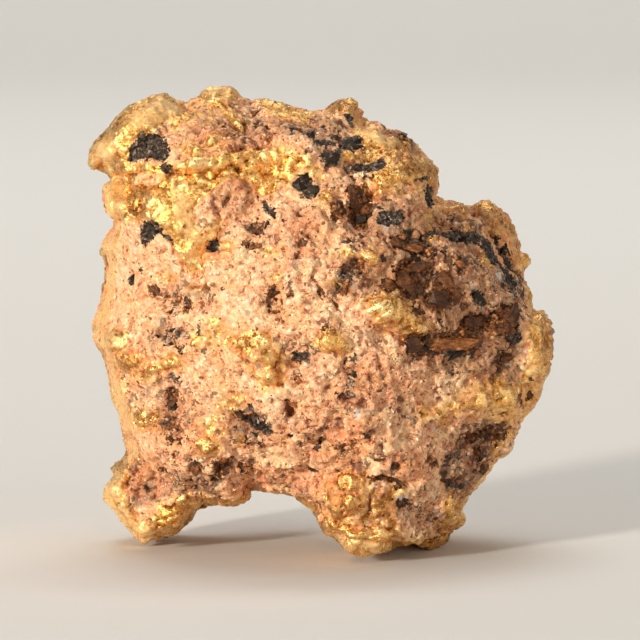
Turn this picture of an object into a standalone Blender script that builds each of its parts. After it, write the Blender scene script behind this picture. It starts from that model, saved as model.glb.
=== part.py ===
"""Gold nugget, one solid: a lumpy piece of native gold grown through a pink, sugary mineral matrix.

It stands on a small left foot and a broad right foot with an arch between them. Units in the tables are
millimetres: x to the right, y from front to back, z up from the resting plane.
"""

import math

import bmesh
import bpy
import numpy as np
from mathutils import Matrix, Vector, noise

MM = 0.001
OBJECT_NAME = "gold_nugget"
NODE_NAME = "nugget"

# Start mesh and final mesh
VOXEL = 0.2
BLOB_SUBDIVISIONS = 4
SOFTEN_STEPS = 16
SOFTEN_FACTOR = 0.5
FINAL_TRIANGLES = 9600

# The view that the front tables are written in: u across, v up, from VIEW_TILT_DEG above level
VIEW_TILT_DEG = 6.0
FRONT_CONTACT_DEPTH = -2.6
CORE_UP = 11.0

# Masses that are fused into one body: (u, depth, v), half sizes (across, depth, up)
MASSES = {
    "core": ((0.3, 0.0, 11.0), (8.7, 7.1, 8.4)),
    "upper_left": ((-5.3, 0.4, 16.2), (4.5, 5.6, 4.8)),
    "upper_middle": ((-0.6, 0.9, 16.4), (5.2, 5.6, 4.4)),
    "top_middle": ((-3.1, 0.9, 18.0), (3.4, 4.4, 3.0)),
    "upper_right": ((2.4, 0.2, 15.2), (3.4, 4.9, 4.6)),
    "left_middle": ((-5.2, 0.8, 10.2), (5.0, 5.6, 5.2)),
    "lower_left": ((-4.9, 0.8, 6.9), (4.6, 5.6, 4.3)),
    "left_foot": ((-7.6, 2.0, 3.4), (2.5, 3.4, 2.8)),
    "left_instep": ((-5.9, 0.8, 4.2), (2.0, 3.2, 2.0)),
    "left_arch_edge": ((-4.7, 0.2, 4.0), (2.5, 3.2, 1.7)),
    "right_middle": ((5.2, 0.8, 9.6), (5.3, 6.0, 5.4)),
    "lower_right": ((3.6, 0.4, 6.2), (5.0, 6.2, 5.0)),
    "right_foot": ((2.5, -1.7, 3.1), (3.2, 3.5, 3.1)),
    "right_heel": ((4.8, 1.8, 2.9), (2.5, 3.3, 2.8)),
    "rear_lobe": ((7.2, 3.6, 13.6), (2.7, 2.9, 3.0)),
    "rear_lobe_tip": ((8.8, 3.4, 14.3), (1.2, 1.6, 1.3)),
    "right_rim_lobe": ((9.3, 1.0, 9.9), (1.6, 2.6, 1.9)),
    "cap": ((-8.3, 0.2, 19.2), (2.5, 2.8, 2.1)),
    "cap_tip": ((-9.9, 0.0, 18.7), (1.2, 1.5, 0.9)),
    "second_left_lobe": ((-9.1, 0.2, 16.7), (1.2, 2.0, 1.0)),
    "left_side": ((-7.6, 0.6, 14.2), (2.4, 3.8, 3.4)),
    "left_bump": ((-9.4, 0.8, 10.3), (1.3, 2.4, 1.7)),
    "left_shoulder": ((-9.2, 1.0, 14.4), (1.1, 2.2, 1.3)),
    "left_ankle": ((-7.9, 1.6, 5.4), (1.6, 3.0, 2.6)),
    "top_knob": ((-4.6, 1.2, 20.9), (1.3, 1.6, 1.1)),
    "top_knob_left": ((-7.2, 0.9, 20.8), (1.1, 1.4, 0.9)),
    "top_knob_right": ((1.3, 1.2, 20.4), (0.9, 1.3, 0.9)),
    "top_right_knob": ((3.5, 0.9, 19.0), (1.3, 1.5, 1.0)),
    "back_crown": ((-5.6, 3.6, 17.4), (3.0, 2.8, 2.9)),
    "back_crown_right": ((0.8, 4.4, 17.2), (2.8, 2.6, 2.8)),
    "back_shoulder": ((5.0, 4.8, 13.0), (2.6, 2.4, 2.6)),
    "back_boss": ((-1.9, 5.1, 12.9), (3.2, 2.6, 2.7)),
    "back_left_boss": ((-6.7, 4.4, 11.0), (2.5, 2.5, 2.9)),
    "back_right_boss": ((4.7, 4.9, 8.6), (2.9, 2.5, 2.5)),
    "back_low_boss": ((-0.8, 5.3, 8.0), (2.4, 2.2, 2.2)),
    "back_left_low": ((-5.4, 4.2, 6.2), (2.2, 2.4, 2.2)),
    "back_heel": ((4.0, 3.8, 3.6), (2.2, 2.4, 2.6)),
    "left_heel": ((-7.4, 3.8, 2.9), (1.7, 1.8, 1.9)),
}

# Outline (u, v), clockwise from the upper left tip, in the front view
OUTLINE = [
    (-10.9, 18.4), (-10.6, 19.3), (-10.1, 19.7), (-9.8, 20.2), (-9.4, 20.6), (-8.9, 21.1), (-8.1, 21.4),
    (-7.2, 21.7), (-6.7, 21.4), (-6.4, 21.3), (-6.0, 21.4), (-5.6, 21.6), (-5.1, 22.0), (-4.1, 22.0),
    (-3.7, 21.6), (-3.2, 21.4), (-2.5, 21.4), (-2.0, 21.2), (-1.2, 21.0), (-0.4, 20.8), (0.3, 20.9),
    (1.0, 21.4), (1.5, 21.4), (1.8, 21.2), (2.0, 20.6), (2.8, 20.3), (3.2, 20.0), (3.7, 19.9),
    (4.1, 19.7), (4.7, 19.0), (5.1, 18.7), (5.5, 18.1), (5.5, 17.0), (5.7, 16.7), (6.7, 16.6),
    (7.0, 16.2), (7.2, 16.5), (8.0, 16.6), (8.4, 16.3), (8.8, 15.9), (9.1, 15.3), (9.5, 14.3),
    (9.9, 13.8), (9.6, 13.2), (9.6, 12.7), (9.9, 12.4), (9.9, 11.8), (10.5, 11.5), (10.9, 10.7),
    (10.9, 9.3), (10.7, 8.4), (10.5, 8.2), (10.3, 7.4), (10.0, 6.9), (9.6, 6.5), (9.3, 5.9),
    (8.9, 4.8), (8.3, 4.5), (7.9, 3.9), (7.1, 3.0), (6.9, 2.6), (6.7, 2.3), (6.8, 1.8), (6.7, 1.4),
    (6.2, 1.1), (5.9, 0.6), (5.2, 0.3), (4.2, 0.5), (3.3, 0.3), (2.7, 0.1), (2.1, -0.1), (1.5, 0.0),
    (1.1, 0.4), (0.8, 0.8), (0.2, 1.1), (-0.1, 1.6), (-0.4, 2.2), (-1.0, 2.6), (-1.4, 2.9),
    (-2.2, 3.0), (-3.1, 3.1), (-3.4, 2.5), (-4.1, 2.3), (-5.3, 2.4), (-5.7, 2.2), (-6.1, 1.6),
    (-6.5, 1.1), (-7.0, 0.9), (-7.6, 0.7), (-8.2, 0.6), (-8.8, 1.1), (-9.3, 1.7), (-9.9, 2.4),
    (-10.1, 2.9), (-10.0, 3.3), (-9.6, 3.8), (-9.7, 4.2), (-9.3, 4.5), (-9.0, 4.9), (-9.2, 5.7),
    (-9.4, 6.6), (-9.7, 7.3), (-9.8, 8.0), (-10.0, 8.8), (-10.2, 9.4), (-10.6, 10.3), (-10.7, 10.7),
    (-10.5, 11.3), (-10.2, 12.2), (-10.1, 13.0), (-10.0, 13.6), (-10.3, 14.3), (-10.2, 14.8),
    (-9.8, 15.2), (-9.6, 15.7), (-9.9, 16.0), (-10.1, 16.4), (-10.2, 17.1), (-9.8, 17.7),
    (-10.3, 17.9),
]

# How the body is drawn to the outline: (steps round it, share of the radius left alone, most that it moves)
RIM_PASSES = [(60, 0.5, 0.12), (120, 0.75, 0.08), (240, 0.88, 0.05)]
RIM_ROUGHNESS = 0.45

# Facets: planes (depth at x = 0 and z = 0, slope with x, slope with z) that cut the rounded body back
FRONT_FACETS = {
    "left_face": (-7.35, -0.26, 0.0),
    "right_face": (-7.55, 0.44, 0.02),
    "upper_bevel": (-24.6, 0.0, 1.06),
    "upper_right": (-15.6, 0.52, 0.52),
    "under_face": (-3.9, 0.0, -0.72),
    "lower_right": (-6.6, 0.75, -0.25),
}
BACK_FACETS = {
    "back_left": (7.7, 0.34, 0.0),
    "back_right": (8.1, -0.40, 0.0),
    "back_top": (21.5, 0.0, -0.85),
    "back_under": (3.2, 0.0, 0.75),
}
FACET_BLEND = 0.9

# Lumps and pits: (across, up, half width, half height, rise); a pit has a negative rise
FRONT_LUMPS = {
    "upper_left_cap": (-8.6, 19.8, 2.1, 1.6, 0.75),
    "cap_shoulder": (-5.9, 20.3, 1.5, 1.1, 0.35),
    "second_left_lobe": (-9.5, 16.6, 0.9, 0.9, 0.55),
    "curtain": (-6.2, 16.0, 2.6, 1.6, 0.25),
    "curtain_tip": (-5.9, 14.2, 0.9, 1.2, 0.25),
    "arch_lobe": (-1.4, 18.4, 1.2, 0.9, 0.35),
    "round_lobe": (-3.1, 17.6, 0.7, 0.6, 0.35),
    "top_knob": (-4.6, 21.0, 0.9, 0.7, 0.3),
    "top_right_knob": (1.3, 20.6, 0.8, 0.7, 0.35),
    "nodule_a": (3.1, 17.7, 0.7, 0.8, 0.4),
    "nodule_b": (4.2, 17.9, 0.7, 0.7, 0.4),
    "nodule_c": (2.5, 19.5, 1.0, 0.6, 0.3),
    "centre_gold": (3.2, 11.5, 1.5, 0.9, 0.5),
    "centre_gold_left": (0.6, 10.1, 0.8, 0.7, 0.35),
    "yellow_boss": (2.4, 14.1, 0.7, 0.7, 0.3),
    "knob": (-2.9, 9.6, 1.2, 1.3, 0.7),
    "knob_low": (-2.2, 8.2, 0.7, 0.8, 0.35),
    "left_bump": (-9.2, 9.6, 1.1, 1.1, 0.6),
    "left_trail": (-7.6, 8.6, 1.2, 0.5, 0.25),
    "low_left_gold": (-5.2, 5.2, 0.9, 0.8, 0.3),
    "low_left_swell": (-7.6, 6.0, 1.5, 1.4, 0.25),
    "mid_swell": (-4.4, 12.2, 2.2, 1.8, 0.3),
    "right_swell": (2.4, 6.8, 1.6, 1.4, 0.3),
    "right_rim_lobe": (10.2, 9.9, 0.9, 1.7, 0.5),
    "rear_lobe_a": (8.0, 15.8, 0.9, 0.8, 0.4),
    "rear_lobe_b": (9.0, 14.4, 0.8, 0.9, 0.3),
    "foot_gold": (1.2, 3.0, 1.1, 1.6, 0.55),
    "foot_toe": (2.0, 0.7, 1.4, 0.7, 0.5),
    "foot_heel": (6.2, 2.0, 0.8, 0.8, 0.4),
    "foot_middle": (3.0, 2.2, 0.8, 0.7, 0.3),
    "left_foot_rim": (-9.3, 2.8, 0.7, 1.2, 0.45),
    "left_foot_toe": (-8.2, 1.3, 1.1, 0.6, 0.45),
    "pale_nodule_a": (-1.1, 3.1, 0.5, 0.5, 0.25),
    "pale_nodule_b": (0.0, 2.8, 0.5, 0.5, 0.25),
    "left_foot_hollow": (-7.9, 3.2, 1.3, 1.3, -0.7),
    "dark_cavity": (-6.1, 3.1, 0.8, 0.5, -0.45),
    "pit_middle": (-1.2, 7.0, 0.6, 0.5, -0.4),
    "pit_right": (1.6, 7.2, 0.5, 0.4, -0.35),
    "pit_low": (0.3, 5.8, 0.8, 0.4, -0.35),
    "side_cavity": (-2.1, 12.1, 0.7, 1.0, -0.35),
    "brown_hollow": (1.8, 15.9, 0.9, 0.9, -0.45),
    "upper_crystal_hole": (4.3, 12.9, 0.8, 0.9, -0.3),
    "dark_band_hole": (7.7, 11.3, 1.5, 0.5, -0.3),
    "low_right_hollow": (7.6, 5.5, 1.3, 0.8, -0.45),
    "toe_hollow": (2.5, 1.6, 0.6, 0.4, -0.3),
    "heel_hollow": (4.9, 1.7, 1.0, 0.6, -0.5),
}
BACK_LUMPS = {
    "back_crown": (-6.5, 19.2, 2.6, 1.9, 0.8),
    "back_crown_right": (1.2, 19.6, 2.0, 1.6, 0.6),
    "back_shoulder": (6.9, 14.4, 2.2, 2.2, 0.7),
    "back_boss": (-2.2, 13.2, 3.0, 2.6, 0.8),
    "back_left_boss": (-8.0, 10.2, 2.0, 2.4, 0.6),
    "back_right_boss": (5.6, 8.6, 2.4, 2.0, 0.7),
    "back_low_boss": (-1.4, 6.6, 2.0, 1.6, 0.5),
    "back_left_foot": (-7.4, 3.4, 1.8, 1.8, 0.6),
    "back_right_foot": (4.0, 3.6, 2.2, 1.6, 0.7),
    "back_hollow": (2.2, 14.4, 1.6, 2.2, -0.9),
    "back_left_hollow": (-5.0, 8.8, 1.3, 1.9, -0.7),
    "back_low_hollow": (1.6, 5.4, 1.2, 1.4, -0.6),
    "back_top_hollow": (-2.6, 18.4, 1.2, 1.4, -0.6),
}

# Underside lumps: (across, depth, half width, half depth, rise)
UNDER_LUMPS = {
    "arch_roof": (-2.2, 1.0, 1.6, 4.0, -0.4),
    "instep_filler": (-5.0, 0.0, 0.9, 3.0, 0.5),
    "sole_hollow": (3.6, 0.6, 1.2, 1.2, -0.4),
}

# Ledges: (points, rise, soft width above, sharp width below); the stone drops away below the line
FRONT_LEDGES = {
    "gold_ledge": (
        [(-9.2, 17.5), (-8.5, 17.7), (-6.9, 18.2), (-5.2, 18.1), (-3.9, 18.5), (-2.5, 18.6), (-1.2, 19.0),
         (-0.3, 18.2)],
        0.6, 1.0, 0.35,
    ),
    "second_ledge": ([(-9.0, 15.8), (-8.6, 15.6), (-7.6, 16.0), (-6.8, 15.2)], 0.3, 0.7, 0.3),
    "curtain_edge": ([(-3.7, 17.6), (-4.6, 16.2), (-5.3, 14.8)], 0.2, 0.6, 0.4),
    "right_ridge": ([(4.8, 6.3), (6.7, 6.9), (7.9, 7.3), (8.9, 7.9), (9.4, 6.6)], 0.35, 0.5, 0.3),
    "toe_ridge": ([(0.7, 1.3), (2.0, 1.3), (3.3, 1.1), (4.6, 0.9)], 0.35, 0.5, 0.25),
    "pale_ledge": ([(0.0, 4.4), (0.6, 4.7), (1.2, 5.1)], 0.2, 0.4, 0.2),
    "band_ledge": ([(3.8, 9.9), (5.4, 9.7), (7.0, 10.3), (8.6, 10.8)], 0.3, 0.4, 0.25),
    "left_foot_ledge": ([(-6.7, 2.5), (-5.3, 2.9), (-3.6, 2.8)], 0.3, 0.4, 0.25),
}
# Grooves: (points, depth, half width)
FRONT_GROOVES = {
    "cap_groove": ([(-9.4, 17.4), (-8.8, 17.3), (-8.2, 17.5)], 0.4, 0.3),
    "lobe_valley": ([(5.7, 16.9), (6.3, 15.6), (7.2, 14.4)], 0.8, 0.6),
    "brown_band": ([(2.6, 17.5), (2.4, 16.6), (2.0, 15.8)], 0.3, 0.35),
    "slanted_band": ([(-0.2, 13.1), (0.1, 12.4), (1.0, 11.7), (0.8, 10.8)], 0.25, 0.35),
    "foot_groove": ([(-0.3, 1.9), (0.4, 2.0), (1.2, 1.8)], 0.3, 0.25),
    "seam": ([(-0.6, 4.3), (-0.4, 5.4), (0.6, 6.3), (1.4, 6.6)], 0.2, 0.3),
}
BACK_GROOVES = {
    "back_seam": ([(-9.0, 13.6), (-5.4, 15.2), (-2.6, 16.2), (1.6, 15.8), (4.4, 17.2)], 0.6, 0.5),
    "back_cross_seam": ([(-1.0, 15.8), (1.6, 12.0), (2.4, 8.0), (1.4, 4.6)], 0.6, 0.5),
}

# Roughness of the broken matrix and of the worn gold: (size of the grain, rise)
SEED_SHIFT = (17.3, -4.1, 8.6)
MATRIX_NOISE = [(3.4, 0.30), (1.5, 0.20), (0.8, 0.10)]
LOBE_SIZE = 2.6
LOBE_RISE = 0.55
SMALL_LOBE_SIZE = 1.2
SMALL_LOBE_RISE = 0.22
GOLD_ROUGHNESS_SHARE = 0.5

# How each kind of relief fades: on the facing of the surface, and from the middle of a lump outwards
SIDE_FADE = (0.1, 0.6)
UNDER_FADE = (0.15, 0.7)
RIM_FADE = (0.0, 0.5)
LUMP_FADE = (0.2, 1.35)

# Feet: the spots that the nugget stands on, (across, depth, reach)
PADS = {
    "toe": (2.2, -2.4, 2.0),
    "heel": (4.9, 3.2, 2.0),
    "left": (-7.7, 2.6, 2.2),
}
PAD_CORE = 0.5
PAD_FADE = (0.5, 1.3)
PAD_HEIGHTS = (0.5, 3.5)
PAD_DEPTH = 0.14
GRINDER_SIZE = 40.0

# Look of the plain solid
GOLD_COLOUR = (0.72, 0.47, 0.24, 1.0)
GOLD_METAL = 0.4
GOLD_ROUGHNESS = 0.45


def clear_scene():
    for obj in list(bpy.data.objects):
        bpy.data.objects.remove(obj, do_unlink=True)


def smooth_step(low, high, value):
    t = np.clip((value - low) / (high - low), 0.0, 1.0)
    return t * t * (3.0 - 2.0 * t)


def soft_max(a, b, width):
    """The larger of a and b, rounded where they are within width of each other."""
    h = np.clip(0.5 + 0.5 * (a - b) / width, 0.0, 1.0)
    return b + (a - b) * h + width * h * (1.0 - h)


def level_height(up, depth):
    """Height above the resting plane of a point seen at v = up."""
    tilt = math.radians(VIEW_TILT_DEG)
    return (up - (depth - FRONT_CONTACT_DEPTH) * math.sin(tilt)) / math.cos(tilt)


def as_seen(points):
    """The u and v of each point."""
    tilt = math.radians(VIEW_TILT_DEG)
    return points[:, 0], points[:, 2] * math.cos(tilt) + (points[:, 1] - FRONT_CONTACT_DEPTH) * math.sin(tilt)


def fused_masses(collection):
    """One closed skin round the masses, softened where they meet."""
    lumps = bmesh.new()
    for (across, depth, up), half_sizes in MASSES.values():
        place = Matrix.Translation(Vector((across, depth, level_height(up, depth))) * MM)
        stretch = Matrix.Diagonal(Vector(half_sizes) * MM).to_4x4()
        bmesh.ops.create_icosphere(
            lumps, subdivisions=BLOB_SUBDIVISIONS, radius=1.0, matrix=place @ stretch
        )
    mesh = bpy.data.meshes.new("masses")
    lumps.to_mesh(mesh)
    lumps.free()
    body = bpy.data.objects.new("masses", mesh)
    collection.objects.link(body)
    fuse = body.modifiers.new("fuse", "REMESH")
    fuse.mode = "VOXEL"
    fuse.voxel_size = VOXEL * MM
    soften = body.modifiers.new("soften", "SMOOTH")
    soften.factor = SOFTEN_FACTOR
    soften.iterations = SOFTEN_STEPS
    skin = evaluated_copy(body)
    bpy.data.objects.remove(body, do_unlink=True)
    return skin


def evaluated_copy(thing):
    """Its mesh with the modifiers applied."""
    graph = bpy.context.evaluated_depsgraph_get()
    return bpy.data.meshes.new_from_object(thing.evaluated_get(graph))


def rim_targets(angles):
    """Radius of the outline at each angle round the core."""
    across, up = np.array(OUTLINE).T
    around = np.arctan2(up - CORE_UP, across) % math.tau
    order = np.argsort(around)
    radii = np.hypot(across, up - CORE_UP)
    return np.interp(angles, around[order], radii[order], period=math.tau)


def rim_ratio(angle, radius, steps, most):
    """Outline radius over widest radius at each angle, evened out between neighbouring steps."""
    slot = (angle / math.tau * steps).astype(int) % steps
    widest = np.zeros(steps)
    np.maximum.at(widest, slot, radius)
    middles = (np.arange(steps) + 0.5) * math.tau / steps
    ratio = np.clip(rim_targets(middles) / widest, 1.0 - most, 1.0 + most)
    ratio = 0.25 * np.roll(ratio, 1) + 0.5 * ratio + 0.25 * np.roll(ratio, -1)
    return (
        np.interp(angle, middles, ratio, period=math.tau),
        np.interp(angle, middles, widest, period=math.tau),
    )


def fit_rim(points):
    """Draws the widest parts out or in to the outline, and leaves the rest."""
    tilt = math.radians(VIEW_TILT_DEG)
    for steps, left_alone, most in RIM_PASSES:
        u, v = as_seen(points)
        radius = np.hypot(u, v - CORE_UP)
        angle = np.arctan2(v - CORE_UP, u) % math.tau
        ratio, widest = rim_ratio(angle, radius, steps, most)
        scale = 1.0 + (ratio - 1.0) * smooth_step(left_alone, 1.0, radius / widest)
        x = u * scale
        z = points[:, 2] + (v - CORE_UP) * (scale - 1.0) / math.cos(tilt)
        points = np.column_stack([x, points[:, 1], z])
    return points


def cut_facets(points, facing):
    """Cuts the rounded body back to the planes of the broad facets."""
    u, v = as_seen(points)
    y = points[:, 1]
    for at_origin, with_u, with_v in FRONT_FACETS.values():
        plane = at_origin + with_u * u + with_v * v
        y = np.where(facing < 0.0, soft_max(y, plane, FACET_BLEND), y)
    for at_origin, with_u, with_v in BACK_FACETS.values():
        plane = at_origin + with_u * u + with_v * v
        y = np.where(facing > 0.0, -soft_max(-y, -plane, FACET_BLEND), y)
    return np.column_stack([points[:, 0], y, points[:, 2]])


def polyline_distance(across, up, points):
    """Distance to the polyline, and height above its nearest point."""
    best = np.full(across.shape, np.inf)
    above = np.zeros(across.shape)
    for (ax, az), (bx, bz) in zip(points, points[1:]):
        ex, ez = bx - ax, bz - az
        t = np.clip(((across - ax) * ex + (up - az) * ez) / (ex * ex + ez * ez), 0.0, 1.0)
        gap_x, gap_z = across - ax - t * ex, up - az - t * ez
        distance = np.hypot(gap_x, gap_z)
        nearer = distance < best
        best = np.where(nearer, distance, best)
        above = np.where(nearer, gap_z, above)
    return best, above


def lump_relief(across, up, lumps):
    rise = np.zeros(across.shape)
    for centre_x, centre_z, half_x, half_z, height in lumps.values():
        gap = np.hypot((across - centre_x) / half_x, (up - centre_z) / half_z)
        rise += height * (1.0 - smooth_step(*LUMP_FADE, gap))
    return rise


def ledge_relief(across, up, ledges):
    rise = np.zeros(across.shape)
    for points, height, soft, sharp in ledges.values():
        distance, above = polyline_distance(across, up, points)
        width = np.where(above > 0.0, soft, sharp)
        rise += height * np.exp(-((distance / width) ** 2))
    return rise


def groove_relief(across, up, grooves):
    rise = np.zeros(across.shape)
    for points, depth, half in grooves.values():
        distance, _ = polyline_distance(across, up, points)
        rise -= depth * np.exp(-((distance / half) ** 2))
    return rise


def matrix_relief(points):
    rise = np.zeros(len(points))
    shift = Vector(SEED_SHIFT)
    for size, height in MATRIX_NOISE:
        rise += height * np.array([noise.noise(Vector(p) / size + shift) for p in points])
    return rise


def lobe_relief(points, size, height):
    """Rounded lobes that meet in creases, as worn gold has."""
    shift = Vector(SEED_SHIFT)
    nearest = np.array([noise.voronoi(Vector(p) / size + shift)[0][0] for p in points])
    return height * (0.5 - np.clip(nearest, 0.0, 1.0) ** 2)


def mesh_points(mesh):
    points = np.empty(len(mesh.vertices) * 3)
    mesh.vertices.foreach_get("co", points)
    return points.reshape(-1, 3) / MM


def vertex_normals(mesh):
    mesh.update()
    normals = np.empty(len(mesh.vertices) * 3)
    mesh.vertices.foreach_get("normal", normals)
    return normals.reshape(-1, 3)


def set_points(mesh, points):
    mesh.vertices.foreach_set("co", (points * MM).ravel())
    mesh.update()


def shape_nugget(mesh):
    points = mesh_points(mesh)
    points = cut_facets(points, vertex_normals(mesh)[:, 1])
    set_points(mesh, points)
    normals = vertex_normals(mesh)
    u, v = as_seen(points)
    x, y, _ = points.T
    front = smooth_step(*SIDE_FADE, -normals[:, 1])
    back = smooth_step(*SIDE_FADE, normals[:, 1])
    under = smooth_step(*UNDER_FADE, -normals[:, 2])
    inside = RIM_ROUGHNESS + (1.0 - RIM_ROUGHNESS) * smooth_step(*RIM_FADE, np.abs(normals[:, 1]))
    rough = inside * matrix_relief(points)
    lobes = lobe_relief(points, LOBE_SIZE, LOBE_RISE) + lobe_relief(points, SMALL_LOBE_SIZE, SMALL_LOBE_RISE)
    lobes *= inside
    rise = front * (lump_relief(u, v, FRONT_LUMPS) + ledge_relief(u, v, FRONT_LEDGES))
    rise += front * (groove_relief(u, v, FRONT_GROOVES) + rough)
    rise += back * (lump_relief(u, v, BACK_LUMPS) + groove_relief(u, v, BACK_GROOVES))
    rise += (1.0 - front) * (lobes + GOLD_ROUGHNESS_SHARE * rough)
    rise += under * lump_relief(x, y, UNDER_LUMPS)
    set_points(mesh, fit_rim(points + normals * rise[:, None]))


def centre_over_origin(mesh):
    points = mesh_points(mesh)
    low, high = points.min(axis=0), points.max(axis=0)
    set_points(mesh, points - np.array([(low[0] + high[0]) / 2.0, (low[1] + high[1]) / 2.0, 0.0]))


def seat_feet(mesh):
    """Brings the lowest point of each pad to the same level, just under the resting plane."""
    points = mesh_points(mesh)
    for across, depth, reach in PADS.values():
        gap = np.hypot(points[:, 0] - across, points[:, 1] - depth)
        drop = points[gap < PAD_CORE * reach, 2].min() + PAD_DEPTH
        low_part = 1.0 - smooth_step(*PAD_HEIGHTS, points[:, 2])
        points[:, 2] -= drop * low_part * (1.0 - smooth_step(*PAD_FADE, gap / reach))
    set_points(mesh, points)


def reduce_triangles(nugget):
    """Keeps the triangles where the surface bends most."""
    reducer = nugget.modifiers.new("reduce", "DECIMATE")
    reducer.decimate_type = "COLLAPSE"
    triangles = sum(len(polygon.vertices) - 2 for polygon in nugget.data.polygons)
    reducer.ratio = FINAL_TRIANGLES / triangles
    reduced = evaluated_copy(nugget)
    nugget.modifiers.clear()
    nugget.data = reduced


def new_collection(name, hidden=False):
    collection = bpy.data.collections.new(name)
    collection.hide_render = hidden
    bpy.context.scene.collection.children.link(collection)
    return collection


def grind_pads(nugget, helpers):
    """Flattens the lowest points to the resting plane, worn pads that the nugget stands on."""
    bpy.ops.mesh.primitive_cube_add(size=GRINDER_SIZE * MM, location=(0.0, 0.0, -GRINDER_SIZE * MM / 2.0))
    grinder = bpy.context.object
    grinder.name = "grinder"
    grinder.hide_render = True
    grinder.display_type = "WIRE"
    for collection in grinder.users_collection:
        collection.objects.unlink(grinder)
    helpers.objects.link(grinder)
    cut = nugget.modifiers.new("grind_pads", "BOOLEAN")
    cut.operation = "DIFFERENCE"
    cut.solver = "EXACT"
    cut.object = grinder


def gold_material():
    material = bpy.data.materials.new("nugget_gold")
    material.use_nodes = True
    shader = material.node_tree.nodes["Principled BSDF"]
    shader.inputs["Base Color"].default_value = GOLD_COLOUR
    shader.inputs["Metallic"].default_value = GOLD_METAL
    shader.inputs["Roughness"].default_value = GOLD_ROUGHNESS
    material.diffuse_color = GOLD_COLOUR
    return material


def make_nugget(collection):
    mesh = fused_masses(collection)
    shape_nugget(mesh)
    centre_over_origin(mesh)
    seat_feet(mesh)
    nugget = bpy.data.objects.new(NODE_NAME, mesh)
    collection.objects.link(nugget)
    reduce_triangles(nugget)
    centre_over_origin(nugget.data)
    nugget.data.materials.append(gold_material())
    for polygon in nugget.data.polygons:
        polygon.use_smooth = True
    return nugget


def main():
    clear_scene()
    nugget = make_nugget(new_collection(OBJECT_NAME))
    grind_pads(nugget, new_collection("helpers", hidden=True))


main()
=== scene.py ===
"""A gold nugget: native gold grown through a pink, sugary mineral matrix with dark crystals.

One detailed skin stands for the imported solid. Crystals and grains are sunk into it as joined meshes.
The tables of forms are in the pixels of the 640 x 640 view, because each form is where the view shows it;
everything else is in millimetres. What the view doesn't show is grown from noise in the same sizes.
"""

import itertools
import math
from contextlib import contextmanager

import bmesh
import bpy
import numpy as np
from mathutils import Matrix, Vector


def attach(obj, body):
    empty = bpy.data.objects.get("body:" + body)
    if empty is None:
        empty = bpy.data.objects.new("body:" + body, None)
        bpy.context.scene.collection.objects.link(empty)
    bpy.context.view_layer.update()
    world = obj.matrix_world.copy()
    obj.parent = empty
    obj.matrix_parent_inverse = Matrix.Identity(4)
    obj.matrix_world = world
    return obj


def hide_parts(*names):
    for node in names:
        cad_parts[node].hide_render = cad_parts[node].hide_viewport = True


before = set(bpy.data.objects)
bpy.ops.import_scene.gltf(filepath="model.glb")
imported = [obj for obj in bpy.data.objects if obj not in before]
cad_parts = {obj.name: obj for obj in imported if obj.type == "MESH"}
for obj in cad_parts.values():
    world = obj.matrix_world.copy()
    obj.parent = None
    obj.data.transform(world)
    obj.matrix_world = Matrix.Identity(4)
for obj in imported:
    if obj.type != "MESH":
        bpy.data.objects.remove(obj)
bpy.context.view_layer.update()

MM = 0.001
NODE = SLOT = "nugget"

# ---------------------------------------------------------------- the view
VIEW_PIXELS = 640
SENSOR_MM = 36.0
LENS_MM = 250.0
CLIP_START, CLIP_END = 0.01, 5.0  # in metres
VIEW_ELEVATION = math.radians(6.0)
VIEW_DISTANCE = 206.5
VIEW_TARGET = np.array([-0.12, 0.0, 10.81])
VIEW_BACK = np.array([0.0, -math.cos(VIEW_ELEVATION), math.sin(VIEW_ELEVATION)])
VIEW_UP = np.array([0.0, math.sin(VIEW_ELEVATION), math.cos(VIEW_ELEVATION)])
VIEW_RIGHT = np.cross(VIEW_UP, VIEW_BACK)
VIEW_PLACE = VIEW_TARGET + VIEW_BACK * VIEW_DISTANCE
PIXELS_PER_SLOPE = VIEW_PIXELS * LENS_MM / SENSOR_MM
MM_PER_PIXEL = VIEW_DISTANCE / PIXELS_PER_SLOPE

# ---------------------------------------------------------------- the skin
WELD_DISTANCE = 1e-6  # in metres, within which split corners of the solid are one point
SKIN_VOXEL = 0.218
SKIN_SMOOTH_STEPS, SKIN_SMOOTH_FACTOR = 3, 0.5
FINE_FACING = 0.12  # faces that turn this far to the view are split once more
SEEN_FROM, SEEN_TO = 0.02, 0.22  # how far a surface faces the view, for the tables to hold on it
BEHIND_FROM, BEHIND_TO = -0.25, -0.5  # how far it faces away, for large wild crystals to grow on it
PIXEL_WARPS = ((0.65, 3.0), (0.24, 1.6))  # size in millimetres and shift in pixels
LOBE_WARP, HOLLOW_WARP = 1.3, 1.5
LOBE_SHARE, HOLLOW_SHARE = 0.5, 0.75  # of the heights and depths in the tables
# parts of a form's radius where it begins to rise or sink and where it is at its full height or depth
LOBE_EDGE, HOLLOW_EDGE, PIT_EDGE = (1.25, 0.15), (1.2, 0.3), (1.3, 0.6)
OUTLINE_PASSES = ((9.0, 14.0), (6.0, 10.0), (4.0, 8.0))  # reach along the rim and across it, in pixels
OUTLINE_DEPTH = 2.2  # millimetres before and behind the rim that an outward move takes with it
OUTLINE_INWARD = 1.9  # times as far for a move inwards
OUTLINE_STEP = 3.0  # pixels from one sample of the outline to the next
RIM_HALF_WIDTH, RIM_SEARCH = 2.5, 14  # pixels beside a sample and across it where the rim is looked for
RIM_LARGEST_MOVE = 8
RIM_BAND = 2.5  # reaches across the rim within which points move at all


def pairs(*numbers):
    """Points of the view, from the x and y of one after the other."""
    return np.array(numbers, float).reshape(-1, 2)


def oval(x, y, width, height, turn=0.0):
    return "oval", x, y, width / 2, height / 2, math.radians(turn)


def patch(*numbers):
    return "patch", pairs(*numbers)


def strip(width, *numbers):
    return "strip", width / 2, pairs(*numbers)


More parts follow.
